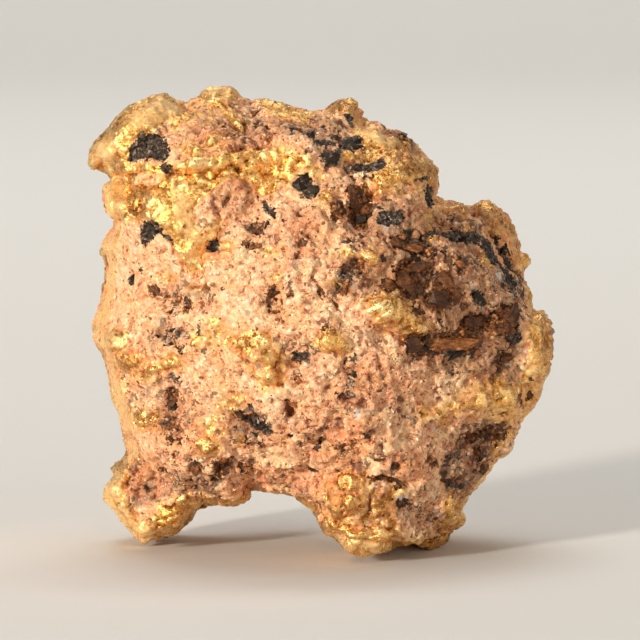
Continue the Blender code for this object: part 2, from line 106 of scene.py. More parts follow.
def swell(x, y, width, height, high, turn=0.0):
    """A rounded form and how high, or deep, it is in millimetres."""
    return high, oval(x, y, width, height, turn)


def crease(width, deep, *numbers):
    return deep, strip(width, *numbers)


# ---------------------------------------------------------------- where each mineral is
# points that two tables share
LEFT_EDGE = (106,232, 104,262, 104,300, 97,330, 106,372, 118,416, 128,450)
RIGHT_ZONE = (352,196, 380,186, 412,200, 440,216, 470,226, 498,240, 514,262, 522,300, 520,350, 516,384,
    490,386, 470,378, 440,372, 420,366, 400,364, 396,346, 424,338, 432,322, 400,298, 380,292)

GOLD = dict(
    cap=patch(84,160, 90,142, 108,122, 128,103, 148,93, 165,88, 177,98, 184,108, 196,117, 190,122, 178,128,
        168,121, 160,125, 150,133, 133,142, 131,152, 134,163, 150,166, 165,165, 171,171, 150,174, 128,175,
        108,179, 100,177, 84,176),
    curtain=patch(100,190, 103,181, 118,181, 130,176, 136,176, 136,186, 160,188, 162,176, 172,170, 180,160,
        199,158, 212,156, 232,153, 249,151, 262,149, 284,147, 297,149, 308,158, 312,171, 301,168, 292,174,
        286,184, 278,178, 275,190, 265,197, 255,194, 249,178, 232,178, 221,182, 210,189, 200,199, 194,210,
        192,218, 197,229, 205,237, 214,226, 221,221, 219,233, 210,244, 206,250, 204,258, 200,267, 190,270,
        181,256, 175,248, 172,236, 163,228, 150,221, 140,222, 122,220, 100,217),
    lens_low=oval(196,150, 20,12, -12),
    lens_high=oval(214,141, 16,8, -5),
    top_knob=patch(202,104, 202,90, 211,83, 231,83, 241,94, 234,99, 221,98, 216,104),
    streak=strip(8, 213,102, 226,112, 235,121, 241,127),
    top_patch=patch(260,98, 271,99, 294,104, 313,109, 308,120, 302,127, 294,120, 284,119, 272,115, 265,106),
    top_right_knob=patch(326,113, 331,102, 341,95, 353,95, 361,102, 364,120, 354,122, 343,113, 335,110,
        331,114),
    shoulder=patch(351,131, 354,127, 374,129, 385,135, 394,138, 407,140, 420,152, 434,165, 441,176, 441,192,
        430,186, 420,182, 408,182, 395,184, 392,190, 378,190, 374,178, 384,168, 380,158, 370,162, 360,160,
        362,150, 358,140),
    small_lens=patch(344,153, 357,152, 358,160, 346,162),
    under_heart=oval(328,199, 13,11),
    yellow_knot=oval(371,257, 15,14),
    knot_spark=oval(337,284, 10,6),
    crumb_left=oval(277,277, 6,10),
    crumb_high=oval(272,253, 11,5),
    big_lobes=patch(366,300, 378,293, 392,295, 400,305, 412,312, 425,322, 430,330, 418,336, 400,330,
        385,322, 372,312),
    middle_lobe=oval(331,341, 26,18, 10),
    centre_knob_a=oval(246,345, 17,20),
    centre_knob_b=oval(262,341, 22,16, 20),
    centre_knob_c=oval(271,360, 16,17, -20),
    centre_knob_d=oval(274,378, 15,17),
    left_bump=oval(116,342, 20,22),
    left_patch=oval(128,361, 30,16),
    left_trail=strip(9, 144,374, 160,368, 178,364),
    speck_a=oval(214,322, 11,8),
    speck_b=oval(230,340, 12,8),
    speck_c=oval(195,343, 9,8),
    low_left_patch=oval(147,420, 24,14),
    low_knob=oval(207,445, 20,18),
    speck_d=oval(235,400, 10,8),
    speck_e=oval(240,440, 8,8),
    ridge_flame=patch(471,406, 475,393, 482,387, 488,396, 486,408, 478,413),
    ridge_mass=patch(490,385, 499,379, 511,384, 515,396, 510,411, 498,414, 490,408),
    ridge_crumb_a=oval(424,413, 11,9),
    ridge_crumb_b=oval(439,411, 8,6),
    ridge_crumb_c=oval(452,408, 11,7),
    ridge_crumb_d=oval(464,404, 10,8),
    ridge_crumb_e=oval(446,420, 8,9),
    ridge_right=strip(6, 520,384, 532,381, 535,392, 530,404),
    ridge_rim=strip(4, 516,414, 508,432, 499,450),
    ridge_up=strip(8, 518,386, 530,372, 541,356),
    right_rim=patch(532,308, 547,307, 558,328, 558,357, 549,379, 541,386, 534,372, 530,350, 528,330),
    toe_patch_a=oval(349,483, 26,20, 20),
    toe_patch_b=oval(352,502, 22,17),
    toe_patch_c=oval(336,512, 15,17),
    toe_ridge=strip(11, 324,526, 350,533, 372,537, 391,533),
    toe_lobe=patch(341,543, 360,535, 385,540, 397,546, 390,556, 364,562, 348,560),
    fork_high=strip(7, 397,487, 391,497, 384,504, 374,507),
    fork_low=strip(6, 383,510, 388,518, 393,523),
    heel_rim=strip(13, 450,537, 460,527, 466,516, 461,507),
    heel_sole=strip(10, 405,546, 420,542, 440,546, 450,537),
    heel_band=strip(9, 452,505, 449,520, 443,531),
    foot_rim=strip(22, 118,464, 112,486, 115,506, 127,523, 141,534, 152,535),
    foot_front=strip(8, 158,519, 152,540),
    foot_side=patch(160,505, 197,508, 192,520, 180,534, 165,541, 152,542, 153,525),
    foot_ledge=strip(9, 177,503, 205,504, 232,502, 247,496),
    rear_rim_a=strip(9, 440,203, 458,205, 468,212),
    rear_rim_b=strip(9, 478,204, 490,203, 502,213, 512,229, 519,248),
    rear_knob=oval(525,263, 15,16),
    rear_spot_a=oval(468,232, 10,10),
    rear_spot_b=oval(484,262, 10,10),
    neck_a=oval(430,218, 10,10),
    neck_b=oval(433,231, 9,8),
    neck_c=oval(432,241, 9,6),
    heel_streak=oval(448,500, 7,14),
)
# gold that comes through the stone in patches only
THIN_GOLD = dict(
    ridge=patch(414,421, 436,408, 452,397, 460,386, 472,376, 490,377, 506,385, 524,384, 536,372, 546,380,
        534,400, 518,416, 500,420, 470,421, 440,424),
    rear=patch(440,203, 458,203, 470,212, 474,205, 484,202, 494,203, 504,212, 512,224, 520,240, 530,258,
        524,270, 508,256, 496,238, 480,224, 462,216),
    under_curtain=oval(225,246, 20,18),
    cap_side=patch(182,100, 200,98, 214,106, 218,124, 196,132, 180,124),
    bevel_band=patch(168,150, 190,138, 224,138, 246,146, 220,154, 186,158),
    trail=strip(15, 138,378, 158,366, 182,358),
    orange_a=oval(170,278, 22,16),
    orange_b=oval(197,289, 14,9),
    specks=patch(190,336, 212,316, 232,326, 240,346, 214,350, 196,352),
    low_left=oval(146,420, 34,22),
    low_mid=patch(196,436, 226,396, 246,392, 250,404, 232,420, 222,452, 202,458),
    knob_skirt=patch(226,330, 250,326, 276,342, 290,366, 286,392, 262,394, 242,366),
    lobe_skirt=patch(358,300, 380,288, 402,294, 432,322, 436,340, 410,342, 376,326),
    middle_skirt=oval(333,342, 40,26, 10),
    amber_side=oval(352,257, 44,16, 10),
    toe=patch(322,484, 338,468, 366,474, 372,492, 400,486, 398,506, 380,516, 392,530, 360,530, 328,524,
        316,506),
    heel=patch(438,540, 444,516, 452,500, 462,500, 468,518, 456,540),
    shoulder_low=patch(362,180, 396,176, 430,180, 440,200, 416,196, 390,198, 372,196),
    left_edge=strip(20, 110,230, 104,262, 104,300, 98,330, 108,372, 120,416, 130,452),
    under_arch=oval(310,176, 34,22),
    ridge_rim=strip(12, 518,410, 508,432, 497,452),
)
DARK = dict(
    cap_grain=patch(132,146, 142,139, 148,134, 156,138, 165,140, 167,150, 170,157, 163,160, 150,159,
        140,157, 133,160),
    cap_bead=oval(165,169, 7,4),
    left_grain=patch(142,229, 148,222, 158,224, 164,229, 161,235, 152,235, 148,245, 143,243),
    left_tail=strip(4, 162,234, 172,242),
    olive_wedge=patch(207,250, 212,240, 219,236, 221,242, 217,250),
    bar_left=strip(4, 315,141, 326,143, 338,144),
    bar_head=oval(309,136, 13,6),
    bar_top=oval(333,137, 9,6),
    bar_right=patch(339,141, 350,138, 361,140, 362,148, 352,153, 342,152),
    eye=patch(319,158, 324,151, 337,151, 342,157, 339,166, 328,167),
    knob_grain=patch(344,115, 352,114, 352,122, 346,122),
    knob_bead=oval(350,126, 4,4),
    wing=patch(348,168, 360,164, 372,163, 381,158, 385,163, 386,168, 372,172, 360,172),
    heart=patch(290,185, 298,180, 304,175, 310,178, 313,185, 322,190, 318,197, 304,197, 296,191),
    pin=strip(3, 263,205, 270,210),
    pin_head=oval(272,212, 8,9),
    cave_bead=oval(266,225, 5,6),
    shoulder_prism=oval(429,198, 10,17, 8),
    shoulder_bead=oval(431,187, 8,4),
    shoulder_line=strip(2.5, 414,180, 427,179),
    blue_crystal=patch(380,226, 381,214, 390,209, 400,211, 403,219, 397,226, 388,228),
    seam_bead=oval(408,234, 9,9),
    seam=strip(4, 419,236, 427,246, 434,256),
    rear_band_left=strip(5, 432,232, 443,234, 452,236),
    rear_band=strip(11, 452,236, 460,238, 478,238, 489,244),
    rear_band_mid=strip(15, 487,248, 496,257),
    rear_band_end=strip(14, 500,260, 506,269),
    rear_band_tail=strip(8, 509,276, 514,287),
    slab_corner=oval(514,338, 12,12),
    rear_wedge=patch(470,291, 477,294, 489,303, 478,305, 470,300),
    mid_grain=oval(299,357, 18,11),
    low_grain=oval(261,428, 24,11, 10),
    low_bead_c=oval(250,406, 5,5),
    band_under=oval(458,353, 28,7),
    toe_lid=oval(456,485, 17,5),
)
# dark grains that lie apart from each other
SPRAY = dict(
    star=oval(169,337, 24,17),
    star_foot=oval(163,348, 10,8),
    slit=strip(6, 198,325, 200,336),
    left_tick_a=oval(132,279, 9,16, 15),
    left_tick_b=oval(140,273, 9,9),
    low_beads=oval(144,347, 14,8),
    blue_bead=oval(174,380, 15,11),
    blue_bead_low=oval(172,404, 18,20),
    mid_slit=oval(352,360, 24,9),
    mid_post=oval(349,384, 12,26),
    post=oval(452,372, 14,18, 15),
    foot_cave=oval(190,489, 28,14),
    face_a=oval(318,208, 7,9),
    amber_high=oval(353,244, 17,10, 20),
    amber_low=oval(344,274, 20,14),
    cavity=oval(279,296, 12,24),
    bar_bead=oval(291,133, 9,8),
    low_right=oval(455,459, 24,10),
    toe=oval(408,506, 16,8),
    heel_grain=oval(478,475, 9,9),
    left_clots=oval(177,300, 16,20, 20),
    low_mid=oval(262,424, 30,14, 10),
    rear_knob_grey=oval(521,287, 12,22),
    rear_band_edge=strip(22, 490,246, 504,262, 514,286),
)
BROWN = dict(
    amber=patch(337,265, 345,257, 356,256, 366,264, 364,271, 350,272, 339,272),
    amber_low=oval(349,284, 11,9),
    zone=patch(351,187, 364,183, 374,188, 373,208, 367,226, 355,227, 350,212),
    zone_orange=patch(329,204, 340,200, 348,212, 344,221, 333,216),
    neck_block=patch(387,240, 397,236, 410,238, 420,242, 427,252, 424,256, 408,254, 392,250),
    facet_block=patch(398,262, 410,259, 424,260, 431,268, 430,280, 424,292, 414,299, 402,296, 396,286,
        394,276),
    facet_block_b=patch(436,270, 443,270, 452,282, 461,294, 461,304, 452,309, 440,310, 428,306, 426,296,
        432,288, 434,278),
    pebble=oval(460,265, 9,11),
    heart_brown=oval(417,312, 12,10),
    upper_slab=patch(458,319, 470,316, 486,312, 500,306, 518,304, 519,330, 500,334, 478,332, 462,330),
    long_band=patch(404,353, 408,336, 420,333, 440,332, 460,332, 478,334, 484,344, 470,352, 450,354,
        424,356, 408,355),
    right_brown_a=patch(495,350, 508,349, 509,366, 501,370, 494,364),
    rim_brown=oval(527,296, 7,12),
    right_brown_b=oval(521,394, 12,16),
    brown_field_a=oval(492,434, 22,16, -30),
    brown_field_b=oval(501,441, 12,20, 20),
    brown_field_c=oval(474,440, 14,9, -20),
    brown_field_d=oval(482,455, 12,14, 10),
    brown_field_e=oval(455,479, 18,6, -12),
    crumb_brown=oval(432,462, 9,7),
    cavity_a=oval(271,294, 8,22, 15),
    cavity_b=oval(281,300, 5,16, -15),
    cavity_c=oval(274,312, 9,5, 10),
    cavity_side=oval(291,294, 8,7),
    crack=strip(2, 312,276, 317,284, 324,295, 334,303, 341,310),
    grain_brown=oval(255,227, 13,14),
    grain_brown_b=oval(251,245, 11,10),
    low_brown_a=oval(171,398, 15,20, 10),
    low_brown_c=oval(169,425, 10,7),
    mid_brown_a=oval(152,288, 11,9),
    mid_brown_b=oval(175,301, 8,6),
    mid_brown_c=oval(172,313, 8,7),
    foot_amber=oval(195,468, 14,12),
    foot_amber_b=oval(222,465, 18,13),
    crumb_brown_b=oval(240,411, 8,7),
    toe_brown=oval(403,504, 18,10),
    toe_cave=patch(362,475, 380,474, 398,478, 408,485, 396,484, 378,481),
    grey_block=oval(388,285, 15,12),
)
# larger crystals: place, size, turn, height above the stone in millimetres, tone from dark to brown
BLOCKS = dict(
    band_left=(411,345, 18,17, -10, 0.2, 0.3),
    band=(449,343, 72,15, -4, 0.2, 0.66),
    band_low=(458,353, 28,7, 0, 0.16, 0.16),
    band_end=(478,343, 14,12, 0, 0.14, 0.5),
    slab=(478,321, 42,16, -10, 0.22, 0.28),
    slab_right=(509,316, 20,26, 5, 0.22, 0.3),
    upper_low=(500,330, 30,8, 3, 0.14, 0.6),
    neck_left=(394,244, 16,12, 10, 0.22, 0.5),
    neck_right=(412,247, 26,14, 20, 0.24, 0.8),
    facet_top=(416,267, 26,14, -6, 0.26, 0.3),
    facet_right=(406,279, 24,20, 20, 0.26, 0.52),
    facet_low=(411,289, 26,18, 6, 0.26, 0.34),
    facet_left=(389,285, 14,14, 0, 0.16, 0.42),
    side_top=(445,280, 16,20, -30, 0.22, 0.5),
    side_low=(437,298, 24,20, 6, 0.28, 0.32),
    side_right=(455,295, 13,20, -20, 0.2, 0.68),
    wedge=(479,298, 20,9, 30, 0.16, 0.12),
    rear_dark=(506,266, 16,16, 30, 0.2, 0.1),
    rear_dark_b=(494,252, 14,13, 30, 0.18, 0.14),
    pebble=(460,265, 10,11, 0, 0.18, 0.75),
    prism=(429,198, 9,16, 8, 0.16, 0.05),
    zone_a=(356,206, 18,14, 30, 0.14, 0.3),
    zone_b=(360,219, 14,11, -10, 0.12, 0.2),
    zone_orange=(336,212, 16,12, 25, 0.12, 0.85),
    pocket=(507,360, 15,17, 0, 0.14, 0.5),
    pocket_low=(529,395, 9,13, 0, 0.1, 0.5),
    bar_right=(351,146, 18,11, 0, 0.14, 0.1),
    eye=(330,159, 18,13, 0, 0.14, 0.05),
    heart_a=(299,185, 14,14, 20, 0.12, 0.08),
    heart_b=(313,190, 14,11, 10, 0.12, 0.06),
    cap_grain_a=(143,148, 15,16, 10, 0.12, 0.04),
    cap_grain_b=(158,149, 14,16, -5, 0.12, 0.06),
    left_grain=(152,228, 16,9, 0, 0.12, 0.05),
    low_left_block=(173,402, 16,12, 50, 0.12, 0.45),
    maroon=(292,402, 15,8, 10, 0.14, 0.65),
    maroon_right=(314,441, 12,7, -20, 0.1, 0.7),
    foot_amber=(195,468, 12,10, 0, 0.1, 0.75),
    lilac=(208,289, 9,8, 30, 0.12, 0.8),
    grey_tick=(133,279, 5,12, 15, 0.08, 0.15),
)
# white and grey chips, and painted glints on dark and brown crystals
PALE_CHIPS_AND_GLINTS = dict(
    white_chip=oval(357,415, 8,8),
    chip_a=oval(407,457, 3,3),
    chip_b=oval(482,471, 3,3),
    chip_c=oval(509,366, 3,3),
    chip_d=oval(436,431, 5,4),
    eye_glint=oval(331,158, 3,3),
    blue_core=patch(386,221, 389,216, 394,215, 396,219, 392,222),
    rear_white=oval(496,277, 10,7),
    rear_white_b=oval(471,288, 5,4),
    blue_core_low=oval(386,229, 10,4, 20),
    knob_white=oval(347,125, 4,3),
    toe_grey=oval(400,498, 10,7),
    heel_white=oval(437,511, 5,4),
    rim_white=oval(527,351, 5,4),
)
# calm, closely grown stone
SMOOTH = dict(
    left_peach=patch(108,224, 142,224, 148,244, 176,262, 166,274, 140,270, 132,290, 126,330, 100,340,
        98,300, 104,260),
    left_low_peach=oval(150,450, 34,26),
    mid_peach=oval(235,312, 26,20),
    toe_nodule=oval(320,496, 18,10),
    toe_nodule_b=oval(297,491, 12,8),
    pink_facet=oval(366,288, 9,10),
    left_hollow=oval(150,500, 30,40),
    rear=patch(486,222, 500,226, 514,238, 522,254, 530,262, 524,272, 508,262, 496,248, 484,236),
    rear_wedge=patch(440,200, 462,202, 470,212, 462,222, 450,212),
    left_edge=strip(18, *LEFT_EDGE),
)
# painted highlights: lighter, creamier, less metallic gold with calmer relief, where the tables put it and
# in random patches where the view doesn't reach
CREAM_HIGHLIGHTS = dict(
    cap_left=oval(104,150, 22,30, 20),
    cap_top=oval(152,114, 58,26, -20),
    second=oval(114,198, 26,38),
    curtain=oval(186,215, 22,60, -15),
    top_knob=strip(9, 206,92, 220,86, 236,90),
    left_edge=strip(20, *LEFT_EDGE),
    foot_rim=strip(20, 112,480, 115,506, 128,524, 146,536),
    toe_lobe=oval(366,547, 44,12, 4),
    rear=oval(509,246, 16,36, -25),
    rim_facet=strip(7, 531,346, 532,360, 529,374),
    flame=oval(481,398, 12,14),
    ridge_rim=strip(8, 516,412, 508,432, 499,450),
    shoulder_band=strip(9, 358,134, 374,136, 390,144),
    left_bump=oval(115,339, 14,14),
)
# redder stone
ROSY = dict(
    under_ledge=oval(236,200, 56,46),
    low_middle=oval(326,430, 110,70),
    foot=oval(150,476, 50,50),
    low_left=oval(180,430, 60,70),
    arch=strip(26, 240,470, 280,480, 310,496),
    upper_middle=oval(300,235, 60,50),
    toe=oval(330,478, 60,40),
    bevel_end=oval(225,140, 90,30),
    right_low=oval(410,466, 50,36),
    middle_right=oval(370,385, 90,50),
)
# brown stains on metal and stone, and painted shade on the tops of lobes, on faces turned from the light
# and in hollows
STAIN_AND_SHADE = dict(
    cap_stain=oval(121,160, 18,20),
    cap_rim=strip(8, 128,103, 148,95, 170,95),
    cap_neck=oval(178,108, 12,18),
    top_knob=strip(7, 216,90, 232,88),
    right_knob=oval(345,106, 16,12),
    shoulder=oval(395,158, 44,26),
    shoulder_edge=oval(431,168, 14,22),
    lobe_hollow=oval(138,210, 24,14),
    orange_a=oval(170,278, 20,14),
    orange_b=oval(196,289, 12,8),
    left_bump=oval(116,336, 16,14),
    big_lobe=oval(392,326, 50,14),
    foot_tip=oval(153,522, 8,16),
    rim_low=oval(541,384, 14,30),
    rear=oval(508,236, 34,60, -25),
    rear_left=oval(455,206, 30,16),
    centre_knob_a=oval(246,345, 26,26),
    centre_knob_b=oval(278,374, 16,32, -10),
    left_patch=oval(126,362, 34,20),
    left_trail=oval(160,370, 40,12),
    low_left_patch=oval(147,420, 26,16),
    low_knob=oval(207,445, 22,20),
    toe_patch=oval(347,494, 34,46),
    fork=oval(386,504, 26,34),
    rim_right=oval(546,344, 16,60),
)
# darker stone with crumbs and veins of the dark minerals, and painted shade on stone and gold where faces
# turn from the light and in recesses: strengths and shapes
DUSK = dict(
    right_zone=(0.72, patch(*RIGHT_ZONE, 352,296, 330,300, 322,286, 338,262, 352,240, 340,214)),
    bevel=(0.4, patch(184,104, 204,104, 224,116, 240,104, 262,112, 282,124, 300,130, 318,118, 340,116,
        354,130, 360,160, 350,190, 326,186, 318,160, 300,146, 284,140, 256,150, 236,148, 222,140, 200,138,
        190,130)),
    rear=(0.62, patch(438,194, 470,200, 490,203, 498,222, 502,244, 516,268, 530,282, 528,312, 516,300,
        506,262, 480,236, 446,214)),
    shoulder=(0.62, patch(380,122, 404,128, 424,146, 440,166, 442,196, 424,188, 404,172, 396,156, 390,142)),
    knob_top=(0.4, oval(350,104, 26,20)),
    low_right=(0.8, patch(446,440, 462,424, 506,420, 514,432, 500,462, 478,494, 462,506, 446,496, 440,472)),
    cavity=(0.35, oval(276,298, 30,46, 8)),
    low_cavity=(0.8, oval(246,424, 54,36, 25)),
    pit_field=(0.1, oval(340,424, 70,60)),
    left_low=(0.5, oval(173,408, 42,56)),
    left_low_b=(0.4, oval(140,400, 30,24)),
    knob_shade=(0.45, oval(299,352, 44,44)),
    left_mid=(0.45, oval(184,296, 54,34)),
    left_star=(0.6, oval(168,336, 40,26)),
    face_left=(0.25, oval(254,232, 34,44)),
    heel=(0.35, oval(424,512, 44,50)),
    toe=(0.5, oval(376,508, 40,40)),
    foot=(0.35, oval(150,482, 50,60)),
    foot_right=(0.7, oval(196,484, 50,34)),
    arch_edge=(0.4, strip(12, 220,462, 262,470, 300,486, 318,504)),
    middle_right=(0.05, oval(372,388, 90,44)),
    under_ledge=(0.15, oval(232,202, 40,34)),
    bevel_right=(0.55, patch(250,108, 285,118, 318,112, 350,128, 354,148, 330,142, 300,140, 270,134,
        246,124)),
)
# stone with a mosaic of small grains but no veins: strengths and shapes
GRAINY = dict(
    right_zone=(0.3, patch(*RIGHT_ZONE, 360,280, 352,240)),
    low_right=(1.0, patch(446,446, 462,426, 504,420, 512,432, 500,458, 478,492, 462,508, 448,498, 442,472)),
)

THIN_GOLD_SHARE = 0.44  # below one half, so that only patches of it come through
SPRAY_SHARE = 0.39  # likewise
GILT_REACH = 9.0  # pixels around gold where the matrix is tinted by it

# ---------------------------------------------------------------- what the surface does
LOBES = dict(
    cap_front=swell(140,118, 56,34, 0.26, -28),
    cap_left=swell(106,148, 36,44, 0.22, 20),
    cap_right=swell(172,106, 26,20, 0.18, 20),
    cap_lip=swell(118,168, 34,16, 0.22, 6),
    cap_lip_b=swell(152,170, 36,10, 0.2, -3),
    second=swell(113,200, 22,36, 0.32),
    second_b=swell(150,200, 40,22, 0.22, 15),
    curtain_a=swell(178,184, 34,20, 0.25),
    curtain_b=swell(180,208, 26,26, 0.24),
    curtain_c=swell(182,232, 26,26, 0.22, 30),
    curtain_d=swell(193,256, 20,24, 0.26),
    curtain_fork=swell(216,232, 8,20, 0.2, 20),
    lens_low=swell(196,150, 22,13, 0.28, -12),
    lens_high=swell(214,141, 18,9, 0.22, -5),
    streak_a=swell(220,107, 18,9, 0.24, 40),
    streak_b=swell(234,120, 20,10, 0.28, 48),
    top_knob_l=swell(212,95, 20,16, 0.22),
    top_knob_r=swell(231,92, 16,10, 0.18),
    crest_a=swell(196,165, 26,13, 0.3, -5),
    crest_b=swell(218,163, 22,14, 0.28),
    crest_c=swell(240,161, 17,15, 0.32),
    crest_d=swell(253,163, 15,15, 0.34),
    crest_e=swell(264,159, 12,13, 0.3),
    crest_f=swell(275,158, 12,22, 0.34),
    crest_g=swell(231,172, 20,10, 0.22, -8),
    round_knob=swell(262,184, 27,25, 0.42),
    heart_rim=swell(291,175, 17,14, 0.28, 30),
    arch_ring_a=swell(290,150, 26,9, 0.24, 5),
    arch_ring_b=swell(306,161, 12,20, 0.24, -30),
    small_lens=swell(350,157, 15,9, 0.24),
    shoulder_band=swell(374,138, 44,15, 0.24, 14),
    shoulder_mid=swell(398,163, 34,20, 0.18, 10),
    shoulder_edge=swell(428,172, 20,26, 0.22, -20),
    nodule_a=swell(385,180, 18,22, 0.34),
    nodule_b=swell(405,175, 24,14, 0.26),
    under_heart=swell(328,199, 15,12, 0.22),
    yellow_knot=swell(371,257, 18,16, 0.3),
    big_lobe_a=swell(388,309, 40,28, 0.55, 15),
    big_lobe_b=swell(414,324, 32,24, 0.5, 25),
    middle_lobe=swell(331,341, 28,21, 0.4, 10),
    knob_a=swell(244,341, 24,16, 0.36, 10),
    knob_b=swell(261,356, 26,22, 0.48, 35),
    knob_c=swell(270,377, 22,24, 0.4),
    left_bump=swell(116,342, 24,26, 0.36),
    left_patch=swell(129,362, 32,18, 0.3),
    trail_a=swell(151,371, 14,10, 0.2),
    trail_b=swell(171,365, 16,9, 0.2),
    low_left_patch=swell(147,420, 26,15, 0.24, 20),
    low_knob=swell(207,445, 22,20, 0.34),
    ridge_a=swell(432,415, 24,10, 0.16, -8),
    ridge_b=swell(462,405, 24,18, 0.3, -15),
    ridge_c=swell(482,397, 32,28, 0.46, -25),
    ridge_d=swell(508,398, 24,26, 0.6, 20),
    ridge_e=swell(534,372, 20,24, 0.2, 40),
    rim_a=swell(543,330, 22,36, 0.34),
    rim_b=swell(545,362, 20,30, 0.26, 10),
    toe_a=swell(353,483, 32,18, 0.2, 25),
    toe_b=swell(352,503, 26,20, 0.26),
    toe_c=swell(336,511, 18,20, 0.3),
    toe_ridge_a=swell(332,528, 20,11, 0.28, 15),
    toe_ridge_b=swell(353,534, 28,12, 0.34, 5),
    toe_ridge_c=swell(382,535, 30,9, 0.26, -5),
    toe_lobe=swell(362,548, 40,20, 0.34, 5),
    heel_nub=swell(452,508, 10,16, 0.3),
    heel_a=swell(458,520, 18,24, 0.3, 20),
    heel_b=swell(441,536, 22,18, 0.28, -30),
    heel_c=swell(418,543, 26,14, 0.26),
    foot_rim_a=swell(110,494, 20,34, 0.38),
    foot_rim_b=swell(124,521, 26,24, 0.36, 45),
    foot_rim_c=swell(142,536, 24,16, 0.3, 10),
    foot_nub=swell(117,470, 12,18, 0.28),
    foot_side=swell(176,518, 32,24, 0.3, -30),
    foot_ledge_a=swell(204,502, 40,11, 0.28),
    foot_ledge_b=swell(236,498, 26,11, 0.24, -10),
    rear_a=swell(458,206, 26,13, 0.25, 5),
    rear_b=swell(491,210, 28,22, 0.34, 20),
    rear_c=swell(507,236, 28,30, 0.34, -20),
    rear_knob=swell(527,260, 15,20, 0.3),
    block_a=swell(410,277, 32,40, 0.32, 10),
    block_b=swell(439,299, 28,24, 0.28),
    block_c=swell(403,245, 42,16, 0.24, 5),
    blue_crystal=swell(391,218, 26,22, 0.3, -15),
    pebble=swell(460,265, 12,13, 0.25),
    heart=swell(306,188, 34,24, 0.22, 20),
    eye=swell(330,159, 24,18, 0.24),
    bar=swell(350,146, 26,15, 0.2),
    peach_swell=swell(235,312, 40,34, 0.2),
    toe_nodule=swell(320,496, 22,12, 0.26),
    toe_nodule_b=swell(297,491, 16,10, 0.2),
    pink_facet=swell(366,288, 14,14, 0.2),
    pale_ledge=swell(327,456, 40,12, 0.25, -18),
    mid_swell=swell(312,380, 40,34, 0.16),
    star=swell(170,338, 22,18, 0.14),
    flame=swell(481,398, 16,20, 0.75, -20),
)
HOLLOWS = dict(
    cavity=swell(275,298, 26,36, 0.18, 8),
    zone=swell(358,212, 34,36, 0.3, -15),
    band=swell(374,194, 12,34, 0.22, 8),
    foot_cave=swell(191,492, 34,20, 0.5),
    foot_hollow=swell(148,496, 34,40, 0.34),
    toe_cave=swell(384,479, 54,12, 0.34, 6),
    toe_shadow=swell(370,508, 10,28, 0.12, 5),
    toe_hollow=swell(375,521, 24,14, 0.24),
    heel_hollow=swell(424,519, 30,24, 0.3),
    low_cavity=swell(248,426, 46,26, 0.34, 20),
    left_low=swell(172,402, 28,32, 0.14),
    face_left=swell(254,232, 26,30, 0.2),
    arch_inner=swell(294,165, 16,14, 0.24),
    lobe_hollow=swell(138,207, 22,14, 0.2),
    knob_shade=swell(292,356, 26,30, 0.34),
    ridge_shade=swell(470,438, 54,22, 0.24, -8),
    low_right=swell(482,448, 50,40, 0.24),
    pits_a=swell(294,407, 26,16, 0.24),
    pits_b=swell(340,432, 46,22, 0.22),
    pits_c=swell(354,404, 26,14, 0.2),
    under_band=swell(446,344, 86,14, 0.2, -12),
    amber=swell(352,265, 34,18, 0.2),
    left_mid=swell(160,292, 30,18, 0.2),
    cap_shade=swell(150,150, 40,24, 0.12),
    olive_wedge=swell(222,245, 26,18, 0.2),
    right_pocket=swell(508,358, 24,22, 0.22),
    right_pocket_b=swell(527,396, 16,20, 0.2),
    crumb_hollow=swell(236,464, 40,14, 0.2, -5),
    rear_gap=swell(470,214, 10,14, 0.3),
)
CREASES = dict(
    ledge_a=crease(4, 0.22, 106,178, 122,175, 140,173),
    ledge_b=crease(4, 0.22, 104,183, 116,186, 120,190, 132,192),
    ledge_c=crease(4, 0.2, 170,172, 188,176, 208,176, 224,172, 244,170),
    crest_shade=crease(5, 0.24, 178,160, 186,155, 199,157, 214,154, 232,152, 250,149, 266,148),
    lens_shade=crease(3, 0.14, 192,143, 206,143, 222,144),
    arch_crease=crease(4, 0.2, 269,174, 272,165, 270,152),
    arch_inner=crease(4, 0.14, 282,156, 292,154, 302,164),
    lip=crease(5, 0.26, 118,222, 140,225, 160,232, 172,246, 182,262, 192,273, 204,264),
    curtain_side=crease(4, 0.2, 196,206, 195,222, 203,236),
    knob_under=crease(6, 0.26, 236,352, 250,366, 258,384, 270,391, 284,384),
    lobe_under=crease(6, 0.3, 370,322, 392,332, 412,341, 430,336),
    middle_under=crease(5, 0.22, 318,350, 332,354, 346,348),
    ridge_under=crease(6, 0.2, 440,422, 466,420, 490,418, 508,424, 524,420),
    foot_rim=crease(5, 0.3, 122,474, 130,500, 140,513, 156,520),
    foot_edge=crease(3, 0.16, 161,520, 155,540),
    toe_side=crease(5, 0.16, 368,490, 371,508, 366,522),
    toe_ridge=crease(4, 0.22, 326,518, 344,526, 364,528, 390,527),
    toe_lobe=crease(4, 0.24, 340,538, 360,541, 380,542, 398,542),
    crack=crease(5, 0.12, 311,274, 317,284, 324,295, 335,304, 341,311, 337,325),
    seam=crease(4, 0.2, 412,232, 420,240, 429,250, 437,262),
    rear_seam=crease(8, 0.45, 446,214, 466,222, 488,236, 506,258, 518,276),
    facet_edge=crease(4, 0.18, 517,300, 516,330, 512,350),
    low_crack=crease(3, 0.14, 307,466, 311,456),
    top_line=crease(3, 0.1, 262,130, 284,131, 296,134),
    bump_side=crease(4, 0.2, 128,330, 130,346, 142,352),
    patch_under=crease(4, 0.2, 114,374, 132,374, 146,368),
    low_knob_under=crease(4, 0.2, 196,452, 208,458, 220,454),
    block_side=crease(4, 0.2, 396,296, 412,300, 426,292, 430,278),
)
